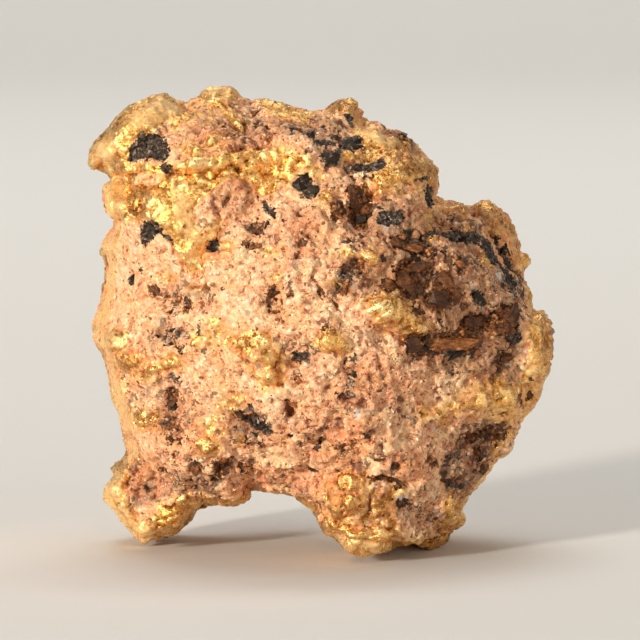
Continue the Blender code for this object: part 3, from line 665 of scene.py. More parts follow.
PITS = dict(
    streak_end=swell(244,126, 4,8, 0.25, -30),
    shoulder_pit=swell(397,148, 5,9, 0.22),
    lobe_pit=swell(141,202, 5,5, 0.18),
    arch_pit=swell(292,165, 6,5, 0.18),
    pit_a=swell(293,407, 19,12, 0.22),
    pit_b=swell(350,401, 8,6, 0.18),
    pit_c=swell(357,407, 7,6, 0.18),
    pit_d=swell(353,435, 7,6, 0.15),
    pit_e=swell(336,426, 7,6, 0.15),
    pit_f=swell(322,431, 7,5, 0.15),
    pit_g=swell(317,439, 19,8, 0.18),
    pit_h=swell(402,399, 8,7, 0.15),
    foot_pit_a=swell(157,441, 6,6, 0.2),
    foot_pit_b=swell(170,441, 10,9, 0.25),
    foot_pit_c=swell(140,457, 4,8, 0.2),
    foot_pit_d=swell(166,452, 6,5, 0.15),
    foot_pit_e=swell(134,474, 5,5, 0.15),
    foot_pit_f=swell(147,487, 4,8, 0.2),
    foot_pit_g=swell(155,478, 5,5, 0.15),
    foot_pit_h=swell(153,500, 5,5, 0.15),
    foot_pit_i=swell(171,505, 5,5, 0.15),
    face_pit_a=swell(300,232, 5,8, 0.15, 20),
    face_pit_b=swell(318,257, 7,4, 0.15, 30),
    face_pit_c=swell(300,261, 5,4, 0.12),
    face_pit_d=swell(326,126, 4,3, 0.1),
    face_pit_e=swell(340,125, 4,4, 0.1),
    face_pit_f=swell(203,280, 3,3, 0.1),
    face_pit_g=swell(250,255, 3,3, 0.1),
)
OUTLINE = pairs(
    86,162, 93,143, 103,134, 110,125, 118,115, 129,105, 138,102, 146,99, 155,94, 165,92, 175,99, 183,101,
    192,98, 199,95, 204,89, 211,86, 231,86, 238,91, 240,95, 250,99, 265,98, 277,102, 293,106, 312,111,
    325,109, 332,103, 341,98, 352,98, 358,102, 363,116, 369,120, 380,122, 388,129, 399,130, 408,135,
    421,149, 428,157, 438,168, 438,192, 441,198, 449,201, 461,203, 470,208, 476,203, 483,200, 491,201,
    499,208, 509,217, 515,228, 523,251, 529,255, 531,261, 524,274, 526,284, 531,292, 531,303, 537,310,
    544,310, 549,318, 553,328, 553,357, 548,376, 544,381, 543,390, 540,399, 534,408, 525,418, 519,431,
    510,453, 498,460, 489,473, 472,493, 468,500, 462,507, 466,519, 462,526, 453,532, 445,544, 431,550,
    410,545, 396,546, 391,551, 377,555, 364,557, 352,555, 343,548, 336,539, 324,534, 317,522, 312,510,
    298,500, 289,495, 272,493, 253,491, 251,498, 246,503, 232,507, 206,505, 198,510, 189,522, 180,532,
    170,538, 156,540, 143,543, 132,534, 120,520, 108,505, 104,495, 105,486, 113,475, 112,467, 120,460,
    126,451, 122,434, 119,416, 112,401, 109,385, 106,369, 102,355, 96,346, 92,337, 91,327, 95,315, 101,296,
    104,278, 105,266, 100,250, 102,240, 110,230, 114,220, 107,214, 103,205, 102,190, 105,182, 109,177,
    104,173, 95,176)

# ---------------------------------------------------------------- noise
# Every use of noise gives the size of its forms in millimetres and then a seed of its own.
HASH_FACTORS = (73856093, 19349663, 83492791)
HASH_SEED_FACTOR = 668265263
HASH_ROUNDS = (2246822519, 3266489917)
HASH_MASK = 0xFFFFFFFF
HASH_PART, HASH_PARTS = 0xFFFFFF, 0x1000000
SEED_SHIFT, CELL_SEED_SHIFT = 7.13, 3.71  # how far from one seed to the next the noise is read
OCTAVE_SEED, AXIS_SEED, OWN_SEED = 31, 101, 977  # from the seed of a noise to those of its parts
CELL_JITTER = 0.9
OCTAVE_GAIN = 0.55


def smooth_step(low, high, value):
    t = np.clip((value - low) / (high - low), 0.0, 1.0)
    return t * t * (3 - 2 * t)


def lattice_random(cells, seed):
    """A number from 0 to 1 for each whole-numbered cell."""
    x, y, z = (cells[..., k].astype(np.int64) * factor for k, factor in enumerate(HASH_FACTORS))
    h = (x ^ y ^ z ^ seed * HASH_SEED_FACTOR) & HASH_MASK
    for factor in HASH_ROUNDS:
        h ^= h >> 15
        h = (h * factor) & HASH_MASK
    h ^= h >> 13
    return (h & HASH_PART) / HASH_PARTS


def value_noise(points, size, seed):
    """Smooth noise from -1 to 1, with forms about size across."""
    spot = points / size + seed * SEED_SHIFT
    cell = np.floor(spot)
    part = spot - cell
    part = part * part * (3 - 2 * part)
    total = np.zeros(len(points))
    for corner in itertools.product((0, 1), repeat=3):
        weight = np.prod(np.where(np.array(corner) == 1, part, 1 - part), axis=1)
        total += weight * lattice_random(cell + corner, seed)
    return 2 * total - 1


def fractal_noise(points, size, seed, octaves=3):
    total, reach = np.zeros(len(points)), 0.0
    for octave in range(octaves):
        total += OCTAVE_GAIN**octave * value_noise(points, size / 2**octave, seed + OCTAVE_SEED * octave)
        reach += OCTAVE_GAIN**octave
    return total / reach


def cell_noise(points, size, seed):
    """Distance to the nearest cell centre, in cell sizes, and that cell's own number."""
    spot = points / size + seed * CELL_SEED_SHIFT
    base = np.floor(spot)
    nearest = np.full(len(points), 9.0)
    own = np.zeros(len(points))
    for step in itertools.product((-1, 0, 1), repeat=3):
        cell = base + step
        centre = cell + 0.5
        for axis in range(3):
            centre[:, axis] += CELL_JITTER * (lattice_random(cell, seed + AXIS_SEED * (axis + 1)) - 0.5)
        far = np.linalg.norm(spot - centre, axis=1)
        own = np.where(far < nearest, lattice_random(cell, seed + OWN_SEED), own)
        nearest = np.minimum(nearest, far)
    return nearest, own


def stirred(points, size, shift, seed):
    """The points moved about by noise, so that what is drawn from them loses its roundness."""
    return points + shift * np.column_stack([value_noise(points, size, seed + k) for k in range(3)])


def ridges(points, size, seed):
    """Noise with sharp crests and soft hollows, about -1 to 1."""
    return 1 - 4 * np.abs(fractal_noise(stirred(points, size, 0.4 * size, seed + 7), size, seed))


def stretched(points, along, factor):
    """The points with lengths along one direction divided by factor: noise from them runs that way."""
    along = np.array(along) / np.linalg.norm(along)
    return points - np.outer(points @ along, along) * (1 - 1 / factor)


def crinkles(points):
    """Fine wavy ridges, -1 to 1, that run one way here and another way there."""
    first = fractal_noise(stretched(points, (0.8, 0.2, -0.55), 2.6), 0.42, 103)
    second = fractal_noise(stretched(points, (0.95, 0.1, 0.25), 2.6), 0.42, 107)
    turn = smooth_step(-0.15, 0.15, value_noise(points, 2.2, 109))
    return 1 - 4 * np.abs(first * turn + second * (1 - turn))


# ---------------------------------------------------------------- the view's own plane
def view_pixels(points):
    """Where the camera sees these points, in pixels of the square view."""
    away = points - VIEW_PLACE
    depth = -(away @ VIEW_BACK)
    across = VIEW_PIXELS / 2 + PIXELS_PER_SLOPE * away[:, 0] / depth
    down = VIEW_PIXELS / 2 - PIXELS_PER_SLOPE * (away @ VIEW_UP) / depth
    return np.column_stack([across, down])


def warped_pixels(points, share=1.0):
    spots = view_pixels(points)
    for step, (size, shift) in enumerate(PIXEL_WARPS):
        for axis in range(2):
            spots[:, axis] += share * shift * value_noise(points, size, 11 + 2 * step + axis)
    return spots


def facing_view(points, normals):
    towards = VIEW_PLACE - points
    towards /= np.linalg.norm(towards, axis=1)[:, None]
    return (normals * towards).sum(1)


def line_distance(spots, line, closed=False):
    """Distance of each spot to a line of points and, for a closed one, whether it is inside."""
    near = np.full(len(spots), 1e9)
    inside = np.zeros(len(spots), bool)
    ends = np.roll(line, -1, axis=0) if closed else line[1:]
    for a, b in zip(line, ends):
        run = b - a
        t = np.clip(((spots - a) @ run) / max(run @ run, 1e-9), 0, 1)
        near = np.minimum(near, np.linalg.norm(spots - a - t[:, None] * run, axis=1))
        if closed and a[1] != b[1]:
            crosses = (a[1] > spots[:, 1]) != (b[1] > spots[:, 1])
            inside ^= crosses & (spots[:, 0] < a[0] + (spots[:, 1] - a[1]) * run[0] / run[1])
    return near, inside


def oval_radius(spots, x, y, half_width, half_height, turn):
    """How far out each spot is in an oval: 1 is on its edge."""
    dx, dy = spots[:, 0] - x, spots[:, 1] - y
    along = dx * math.cos(turn) + dy * math.sin(turn)
    across = dy * math.cos(turn) - dx * math.sin(turn)
    return np.hypot(along / half_width, across / half_height)


def depth_inside(spots, shape):
    """How many pixels each spot is inside a shape; outside it is below 0."""
    if shape[0] == "oval":
        return (1 - oval_radius(spots, *shape[1:])) * min(shape[3], shape[4])
    if shape[0] == "strip":
        return shape[1] - line_distance(spots, shape[2])[0]
    near, inside = line_distance(spots, shape[1], closed=True)
    return np.where(inside, near, -near)


def depth_in_any(spots, shapes):
    deepest = np.full(len(spots), -99.0)
    for shape in shapes:
        deepest = np.maximum(deepest, depth_inside(spots, shape))
    return deepest


def strongest(spots, table, soft):
    """The highest strength of a table's (strength, shape) pairs at each spot."""
    total = np.zeros(len(spots))
    for strength, shape in table.values():
        total = np.maximum(total, strength * smooth_step(-soft, soft, depth_inside(spots, shape)))
    return total


# ---------------------------------------------------------------- mesh helpers
def mesh_rows(items, field, width, kind=np.float32):
    """A row of numbers for each item of a mesh."""
    rows = np.empty(len(items) * width, kind)
    items.foreach_get(field, rows)
    return rows.reshape(-1, width)


def mesh_points(mesh):
    return mesh_rows(mesh.vertices, "co", 3).astype(float)


def mesh_normals(mesh):
    return mesh_rows(mesh.vertex_normals, "vector", 3).astype(float)


def set_points(mesh, points):
    mesh.vertices.foreach_set("co", points.astype(np.float32).ravel())
    mesh.update()


def neighbour_mean(values, edges):
    """Each vertex's mean over the vertices it shares an edge with, for one number a vertex."""
    count = len(values)
    sums = np.bincount(edges[:, 0], values[edges[:, 1]], count)
    sums += np.bincount(edges[:, 1], values[edges[:, 0]], count)
    return sums / np.maximum(np.bincount(edges.ravel(), minlength=count), 1)


def add_attribute(mesh, name, values):
    mesh.attributes.new(name, "FLOAT", "POINT").data.foreach_set("value", values.astype(np.float32))


def new_mesh(name, points, triangles):
    mesh = bpy.data.meshes.new(name)
    mesh.from_pydata(points, [], triangles)
    return mesh


def placed(name, data):
    """A new object in the scene."""
    obj = bpy.data.objects.new(name, data)
    bpy.context.scene.collection.objects.link(obj)
    return obj


@contextmanager
def edited(mesh):
    """A mesh open for editing, which is written back afterwards."""
    bm = bmesh.new()
    bm.from_mesh(mesh)
    yield bm
    bm.to_mesh(mesh)
    bm.free()


def apply_modifiers(obj):
    graph = bpy.context.evaluated_depsgraph_get()
    fresh = bpy.data.meshes.new_from_object(obj.evaluated_get(graph))
    old = obj.data
    obj.modifiers.clear()
    obj.data = fresh
    bpy.data.meshes.remove(old)


# ---------------------------------------------------------------- the base skin
def closed_copy_of_solid():
    """The solid's mesh in millimetres with its split corners joined again, as a new object."""
    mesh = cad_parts[NODE].data.copy()
    with edited(mesh) as bm:
        bmesh.ops.remove_doubles(bm, verts=bm.verts, dist=WELD_DISTANCE)
    mesh.materials.clear()
    set_points(mesh, mesh_points(mesh) / MM)
    return placed("nugget_stone", mesh)


def split_seen_faces(mesh):
    """Splits every face that turns to the view once more."""
    view = Vector(VIEW_BACK)
    with edited(mesh) as bm:
        bmesh.ops.triangulate(bm, faces=bm.faces)
        bm.normal_update()
        edges = {e for f in bm.faces if f.normal.dot(view) > FINE_FACING for e in f.edges}
        bmesh.ops.subdivide_edges(bm, edges=list(edges), cuts=1, use_grid_fill=True)
        bmesh.ops.triangulate(bm, faces=bm.faces)


def base_skin():
    obj = closed_copy_of_solid()
    subdivide = obj.modifiers.new("rounded", "SUBSURF")
    subdivide.levels = subdivide.render_levels = 1
    remesh = obj.modifiers.new("even", "REMESH")
    remesh.mode = "VOXEL"
    remesh.voxel_size = SKIN_VOXEL
    soft = obj.modifiers.new("soft", "SMOOTH")
    soft.factor, soft.iterations = SKIN_SMOOTH_FACTOR, SKIN_SMOOTH_STEPS
    apply_modifiers(obj)
    split_seen_faces(obj.data)
    obj.data.shade_smooth()
    fit_outline(obj.data, OUTLINE_PASSES)
    return obj


def outline_samples():
    """Points along the outline, and each one's outward direction in the view."""
    places, outward = [], []
    for a, b in zip(OUTLINE, np.roll(OUTLINE, -1, axis=0)):
        length = np.linalg.norm(b - a)
        count = max(1, round(length / OUTLINE_STEP))
        for k in range(count):
            places.append(a + (b - a) * k / count)
            outward.append(np.array([b[1] - a[1], a[0] - b[0]]) / length)
    places, outward = np.array(places), np.array(outward)
    outward = outward + np.roll(outward, 1, axis=0) + np.roll(outward, -1, axis=0)
    return places, outward / np.linalg.norm(outward, axis=1)[:, None]


def rim_gaps(spots, depths, places, outward):
    """How far outside the rim each sample of the outline is, and how deep in the view the rim is there."""
    gaps, rim_depths = np.zeros(len(places)), np.zeros(len(places))
    for k, (place, out) in enumerate(zip(places, outward)):
        away = spots - place
        height = away @ out
        beside = np.abs(away @ np.array([-out[1], out[0]]))
        near = (beside < RIM_HALF_WIDTH) & (np.abs(height) < RIM_SEARCH)
        if near.any():
            rim = np.flatnonzero(near)[np.argmax(height[near])]
            gaps[k], rim_depths[k] = -height[rim], depths[rim]
    return np.clip(gaps, -RIM_LARGEST_MOVE, RIM_LARGEST_MOVE), rim_depths


def fit_outline(mesh, passes):
    """Moves what lies near the rim of the view across it until the rim is where the outline says."""
    places, outward = outline_samples()
    for along_reach, deep_reach in passes:
        points = mesh_points(mesh)
        spots = view_pixels(points)
        close = line_distance(spots, OUTLINE, closed=True)[0] < RIM_BAND * deep_reach
        spots = spots[close]
        depths = points[close] @ VIEW_BACK
        near_rim = np.zeros(len(spots))
        weight_sum = np.full(len(spots), 1e-6)
        shift = np.zeros((len(spots), 2))
        for place, out, gap, rim_depth in zip(places, outward, *rim_gaps(spots, depths, places, outward)):
            far = ((spots - place) ** 2).sum(1)
            weight = np.exp(-2 * far / along_reach**2)
            weight_sum += weight
            reach = OUTLINE_DEPTH * (1.0 if gap > 0 else OUTLINE_INWARD)
            held = np.exp(-(((depths - rim_depth) / reach) ** 2))
            shift += (weight * gap * held)[:, None] * out
            near_rim = np.maximum(near_rim, np.exp(-far / (2 * deep_reach**2)))
        shift = shift / weight_sum[:, None] * near_rim[:, None] * MM_PER_PIXEL
        points[close] += shift[:, :1] * VIEW_RIGHT - shift[:, 1:] * VIEW_UP
        set_points(mesh, points)


# ---------------------------------------------------------------- what each vertex is made of
# levels of a noise from which a mineral begins to show and at which it is full
WILD_GOLD, WILD_DARK, WILD_BROWN = (-0.10, 0.02), (0.42, 0.5), (0.32, 0.44)
VEIN_EDGE, VEIN_STRETCHES, CLOT_EDGE = (0.12, 0.05), (-0.25, 0.05), (0.24, 0.34)
BROWN_CRUMBS, DARK_CRUMBS = (0.42, 0.48), (0.50, 0.56)
# taken off the noise of the crumbs: on light stone, where the view doesn't reach, and at its sides
LIGHT_LOSS, UNSEEN_LOSS, SIDE_LOSS = 0.13, 0.04, 0.2
VEINS_SHOW, CLOTS_SHOW = (0.5, 1.15), (0.45, 0.85)  # strengths of the dusk


def vein_pattern(points):
    """Thin branching lines, and clots between them, both from 0 to 1."""
    stirred_points = stirred(points, 0.7, 0.25, 221)
    lines = smooth_step(*VEIN_EDGE, np.abs(fractal_noise(stirred_points, 1.7, 91)))
    lines *= smooth_step(*VEIN_STRETCHES, value_noise(points, 1.4, 93))
    return lines, smooth_step(*CLOT_EDGE, fractal_noise(stirred_points, 1.0, 95))


def mineral_masks(points, normals):
    """The share of each mineral at each vertex, from 0 to 1, and how many pixels it is inside the gold."""
    facing = facing_view(points, normals)
    seen = smooth_step(SEEN_FROM, SEEN_TO, facing)
    unseen = 1 - seen
    behind = smooth_step(BEHIND_FROM, BEHIND_TO, facing)
    spots = warped_pixels(points)
    wild_gold = fractal_noise(points, 4.2, 41) + 0.5 * fractal_noise(points, 1.1, 43)
    wild_dark = fractal_noise(stirred(points, 0.7, 0.35, 251), 1.5, 47, 4)
    wild_brown = fractal_noise(stirred(points, 0.7, 0.35, 257), 1.7, 53, 4)
    none = np.zeros(len(points))
    masks = {}

    def drawn(shapes, soft):
        return smooth_step(-soft, soft, depth_in_any(spots, shapes))

    def at_least(name, values):
        masks[name] = np.maximum(masks[name], values)

    for name, shapes, soft, wild in (
        # softness of the edges in pixels, and what grows where the view doesn't reach
        ("gold", GOLD, 2.2, smooth_step(*WILD_GOLD, wild_gold)),
        ("dark", DARK, 2.2, behind * smooth_step(*WILD_DARK, wild_dark)),
        ("brown", BROWN, 2.5, behind * smooth_step(*WILD_BROWN, wild_brown)),
        ("pale_and_glint", PALE_CHIPS_AND_GLINTS, 1.2, none),
        ("stain_and_shade", STAIN_AND_SHADE, 4.0, smooth_step(0.1, 0.5, value_noise(points, 1.6, 59))),
        ("smooth", SMOOTH, 5.0, none),
        ("cream_highlight", CREAM_HIGHLIGHTS, 5.0, 0.6 * smooth_step(0.15, 0.5, value_noise(points, 1.5, 65))),
        ("rosy", ROSY, 12.0, smooth_step(-0.2, 0.4, value_noise(points, 3.0, 63))),
    ):
        masks[name] = drawn(shapes.values(), soft) * seen + wild * unseen
    gold_depth = depth_in_any(spots, GOLD.values())
    thin = drawn(THIN_GOLD.values(), 4.0) * seen
    at_least("gold", THIN_GOLD_SHARE * thin)
    at_least("dark", SPRAY_SHARE * drawn(SPRAY.values(), 2.5) * seen)
    masks["gilt"] = np.maximum(smooth_step(-GILT_REACH, 1.0, gold_depth), 0.6 * thin) * seen
    masks["gilt"] += smooth_step(-0.4, -0.05, wild_gold) * unseen

    wild_dusk = 0.6 * smooth_step(0.0, 0.5, value_noise(points, 2.6, 57))
    masks["dusk"] = strongest(spots, DUSK, 7) * seen + wild_dusk * unseen
    veined = masks["dusk"] * (1 - drawn([shape for _, shape in GRAINY.values()], 5) * seen)
    masks["grainy"] = np.maximum(veined, strongest(spots, GRAINY, 5) * seen)
    lines, clots = vein_pattern(points)
    crumbs = np.abs(fractal_noise(stirred(points, 0.4, 0.15, 241), 0.62, 121))
    crumbs = crumbs - LIGHT_LOSS * (1 - np.clip(masks["dusk"] + 0.5 * masks["rosy"], 0, 1))
    crumbs -= unseen * (UNSEEN_LOSS + SIDE_LOSS * (1 - behind))
    crumb_side = smooth_step(-0.1, 0.1, value_noise(points, 1.1, 123))
    open_stone = (1 - masks["smooth"]) * (1 - masks["gold"])
    at_least("brown", smooth_step(*BROWN_CRUMBS, crumbs) * open_stone)
    at_least("dark", smooth_step(*DARK_CRUMBS, crumbs) * open_stone * crumb_side)
    at_least("dark", smooth_step(*VEINS_SHOW, veined) * lines)
    at_least("brown", smooth_step(*CLOTS_SHOW, veined) * clots)
    masks["gold"] *= (1 - masks["dark"]) * (1 + 0.5 * masks["cream_highlight"])
    masks["brown"] *= (1 - masks["dark"]) * (1 - 0.8 * np.minimum(masks["gold"], 1))
    masks["seen"] = seen
    return masks, gold_depth


def matrix_share(masks):
    return np.clip(1 - masks["gold"] - masks["dark"] - masks["brown"], 0, 1)


# ---------------------------------------------------------------- relief
# heights and depths in millimetres of the fine relief
SHEET_HIGH, NODULE_HIGH, FOLD_DEEP, CRINKLE_HIGH, GOLD_RIDGE_HIGH = 0.05, 0.08, 0.24, 0.06, 0.035
CLUMP_HIGH, PORE_DEEP, CRUMPLE_HIGH, LUMP_HIGH, RIDGE_HIGH = 0.06, 0.13, 0.13, 0.15, 0.09
CRYSTAL_STEP, DARK_HIGH, BROWN_DEEP = 0.16, 0.02, 0.03
WILD_HIGH, WILD_RIDGE_HIGH = 0.2, 0.1  # of the wide forms where the view doesn't reach
UNEVEN_SHARE, UNEVEN_RIDGE_SHARE = 0.45, 0.35  # how uneven the forms in the tables are
UNSEEN_GOLD_DEPTH = 6  # pixels that gold counts as inside its own edge where the view doesn't reach
HOLLOW_SHADE_RANGE = (-0.02, 0.03)  # millimetres that the neighbours of a vertex lie further out than it does, for the painted shade in hollows
HOLLOW_SHADE_BLUR_STEPS = 2


def wide_relief(points, seen):
    """Lobes, hollows and creases of the view, in millimetres along the normal, and its pits from 0 to 1."""
    spots = warped_pixels(points, LOBE_WARP)
    uneven = 1 + UNEVEN_SHARE * fractal_noise(points, 0.9, 101, 2)
    uneven += UNEVEN_RIDGE_SHARE * ridges(points, 0.55, 113)
    relief, drawn_pits = np.zeros(len(points)), np.zeros(len(points))
    for high, shape in LOBES.values():
        rise = smooth_step(*LOBE_EDGE, oval_radius(spots, *shape[1:]))
        relief = np.maximum(relief, LOBE_SHARE * high * rise * uneven)
    spots = warped_pixels(points, HOLLOW_WARP)
    for deep, shape in HOLLOWS.values():
        sunk = smooth_step(*HOLLOW_EDGE, oval_radius(spots, *shape[1:]))
        relief -= HOLLOW_SHARE * deep * sunk * uneven
    for deep, (_, half_width, line) in CREASES.values():
        far = line_distance(spots, line)[0]
        relief -= HOLLOW_SHARE * deep * np.exp(-((far / half_width) ** 2)) * uneven
    for deep, shape in PITS.values():
        inside = smooth_step(*PIT_EDGE, oval_radius(spots, *shape[1:]))
        relief -= deep * inside
        drawn_pits = np.maximum(drawn_pits, inside)
    wild = WILD_HIGH * fractal_noise(points, 2.4, 131) + WILD_RIDGE_HIGH * ridges(points, 1.4, 137)
    return relief * seen + wild * (1 - seen), drawn_pits * seen


def fine_relief(points, masks, gold_depth):
    """Metal folds, grains and pores, in millimetres along the normal, and the pores from 0 to 1."""
    gold, dark, brown, smooth = (masks[name] for name in ("gold", "dark", "brown", "smooth"))
    matrix = matrix_share(masks)

    coarse = stirred(points, 0.5, 0.20, 201)
    fine = stirred(points, 0.2, 0.07, 211)
    near, own = cell_noise(coarse, 0.55, 61)
    clumps = (0.5 - near**2) * own
    _, crystal_own = cell_noise(fine, 0.32, 71)
    threshold = 0.42 - 0.14 * masks["dusk"] - 0.05 * masks["rosy"] + 0.15 * smooth
    holes = smooth_step(threshold, threshold + 0.08, fractal_noise(fine, 0.42, 97))
    crumpled = fractal_noise(fine, 0.28, 79)
    folds = np.abs(fractal_noise(stirred(points, 1.0, 0.4, 231), 1.1, 81, 2))
    near, own = cell_noise(stirred(points, 0.5, 0.18, 261), 0.5, 67)
    nodules = (0.4 - near**2) * (0.4 + own)

    height = SHEET_HIGH * gold * smooth_step(-1, 5, gold_depth)
    height += gold * (1 - 0.6 * np.maximum(smooth, masks["cream_highlight"])) * (
        NODULE_HIGH * nodules - FOLD_DEEP * (folds - 0.15) + CRINKLE_HIGH * crinkles(points)
        + CRINKLE_HIGH * crumpled + GOLD_RIDGE_HIGH * ridges(points, 0.34, 117))
    rough = 1 - 0.75 * smooth
    rough *= 1 + 0.6 * (1 - masks["seen"])
    height += matrix * rough * (CLUMP_HIGH * clumps - PORE_DEEP * holes + CRUMPLE_HIGH * crumpled)
    lumpy = (1 - 0.6 * smooth) * (1 + 0.7 * masks["seen"])
    height += matrix * lumpy * (
        LUMP_HIGH * fractal_noise(points, 1.3, 83) + RIDGE_HIGH * ridges(points, 0.75, 119))
    height += dark * (DARK_HIGH + CRYSTAL_STEP * (crystal_own - 0.5))
    height += brown * (CRYSTAL_STEP * (crystal_own - 0.5) - BROWN_DEEP)
    return height, matrix * holes


def shape_skin(obj):
    """Gives the skin its relief, and its masks as attributes for the material to read."""
    mesh = obj.data
    points, normals = mesh_points(mesh), mesh_normals(mesh)
    masks, gold_depth = mineral_masks(points, normals)
    relief, drawn_pits = wide_relief(points, masks["seen"])
    set_points(mesh, points + normals * relief[:, None])

    normals = mesh_normals(mesh)
    gold_depth = np.where(masks["seen"] > 0.5, gold_depth, UNSEEN_GOLD_DEPTH * masks["gold"])
    height, holes = fine_relief(points, masks, gold_depth)
    set_points(mesh, mesh_points(mesh) + normals * height[:, None])
    fit_outline(mesh, OUTLINE_PASSES[-1:])
    points = mesh_points(mesh)
    points[:, 2] = np.maximum(points[:, 2], 0.0)
    set_points(mesh, points)

    # how deep each vertex lies in a hollow: the materials darken it there as painted shade
    edges = mesh_rows(mesh.edges, "vertices", 2, np.int32)
    spread = np.column_stack([neighbour_mean(points[:, k], edges) for k in range(3)]) - points
    hollow_shade = (spread * mesh_normals(mesh)).sum(1)
    for _ in range(HOLLOW_SHADE_BLUR_STEPS):
        hollow_shade = 0.5 * hollow_shade + 0.5 * neighbour_mean(hollow_shade, edges)
    masks["hollow_shade"] = smooth_step(*HOLLOW_SHADE_RANGE, hollow_shade)
    masks["pit"] = np.maximum(holes, drawn_pits)
    for name, values in masks.items():
        add_attribute(mesh, name, values)
    return masks


# ---------------------------------------------------------------- crystals and grains
GOLDEN = (1 + math.sqrt(5)) / 2
SIGNS = list(itertools.product((-1, 1), repeat=2))
ICO_POINTS = np.array([(s, t * GOLDEN, 0.0) for s, t in SIGNS] + [(0.0, s, t * GOLDEN) for s, t in SIGNS]
                      + [(s * GOLDEN, 0.0, t) for s, t in SIGNS])
ICO_POINTS /= np.linalg.norm(ICO_POINTS[0])
BOX_POINTS = np.array(list(itertools.product((-1, 1), repeat=3)), float) / math.sqrt(3)
GRAIN_STRETCH = (0.7, 1.3)  # of its size, along each of a body's own axes
GRAIN_FIELDS = ("dusk", "stain_and_shade", "smooth", "rosy", "gilt")  # masks that grains take over from the skin

BLOCK_SEED = 21
BLOCK_FOOTING = 60  # vertices whose mean place and normal carry a block
BLOCK_CORNERS = 15
BLOCK_POWER = 3.2  # 2 is round, more is squarer
BLOCK_REACH = (0.8, 1.1)  # how far out its corners are, 1 being their own place
BLOCK_SKEW, BLOCK_SLOPE, BLOCK_DIP = (-0.25, 0.25), (-0.2, 0.2), (-0.25, 0.1)
BLOCK_LIFT = 0.3  # of its height, how far a block's middle is above the stone
BLOCK_TONE_SPLIT = 0.26


def hull_triangles(points):
    """The outer triangles of a small set of points, each turned outwards."""
    bm = bmesh.new()
    for point in points:
        bm.verts.new(point)
    bm.verts.index_update()
    bmesh.ops.convex_hull(bm, input=bm.verts)
    bmesh.ops.triangulate(bm, faces=bm.faces)
    bmesh.ops.recalc_face_normals(bm, faces=bm.faces)
    bm.verts.index_update()
    triangles = np.array([[v.index for v in f.verts] for f in bm.faces])
    bm.free()
    return triangles


def random_turns(rng, count):
    """Random rotation matrices."""
    quaternions = rng.normal(size=(4, count))
    w, x, y, z = quaternions / np.linalg.norm(quaternions, axis=0)
    return np.stack([
        np.stack([1 - 2 * (y * y + z * z), 2 * (x * y - w * z), 2 * (x * z + w * y)], 1),
        np.stack([2 * (x * y + w * z), 1 - 2 * (x * x + z * z), 2 * (y * z - w * x)], 1),
        np.stack([2 * (x * z - w * y), 2 * (y * z + w * x), 1 - 2 * (x * x + y * y)], 1),
    ], 1)


def scatter(skin, weight, count, rng):
    """Random places on the skin where weight, a number for each vertex, is high: (points, normals, corners,
    shares), the last two to read other numbers there."""
    points, normals, triangles = skin["points"], skin["normals"], skin["triangles"]
    a, b, c = (points[triangles[:, k]] for k in range(3))
    area = np.linalg.norm(np.cross(b - a, c - a), axis=1) / 2
    chance = area * weight[triangles].mean(1)
    picked = rng.choice(len(triangles), count, p=chance / chance.sum())
    u, v = rng.random(count), rng.random(count)
    flip = u + v > 1
    u[flip], v[flip] = 1 - u[flip], 1 - v[flip]
    shares = np.column_stack([1 - u - v, u, v])
    corners = triangles[picked]
    where = (points[corners] * shares[:, :, None]).sum(1)
    out = (normals[corners] * shares[:, :, None]).sum(1)
    return where, out / np.linalg.norm(out, axis=1)[:, None], corners, shares


def scattered_piece(name, skin, weight, count, seed, shape, sizes, squash, sink, jitter):
    """One mesh of many small bodies sunk into the skin. Sizes are half sizes in millimetres; squash is how
    flat they lie; sink is how much of a body's size is below the surface."""
    rng = np.random.default_rng(seed)
    faces = hull_triangles(shape)
    where, out, corners, shares = scatter(skin, weight, count, rng)
    low, high = sizes
    size = low + (high - low) * rng.random(count) ** 2
    body = shape[None] * (1 + jitter * rng.normal(size=(count, len(shape), 1)))
    body = body * size[:, None, None] * rng.uniform(*GRAIN_STRETCH, (count, 1, 3))
    body = np.einsum("nij,nvj->nvi", random_turns(rng, count), body)
    along = np.einsum("nvi,ni->nv", body, out)
    body -= (squash * along)[:, :, None] * out[:, None, :]
    centre = where - out * (size * (1 - squash) * sink)[:, None]
    points = (centre[:, None, :] + body).reshape(-1, 3)
    points[:, 2] = np.maximum(points[:, 2], 0.0)
    triangles = (faces[None] + len(shape) * np.arange(count)[:, None, None]).reshape(-1, 3)
    mesh = new_mesh(name, points.tolist(), triangles.tolist())
    add_attribute(mesh, "own", np.repeat(rng.random(count), len(shape)))
    for field in GRAIN_FIELDS:
        values = (skin["masks"][field][corners] * shares).sum(1)
        add_attribute(mesh, field, np.repeat(values, len(shape)))
    return placed(name, mesh)


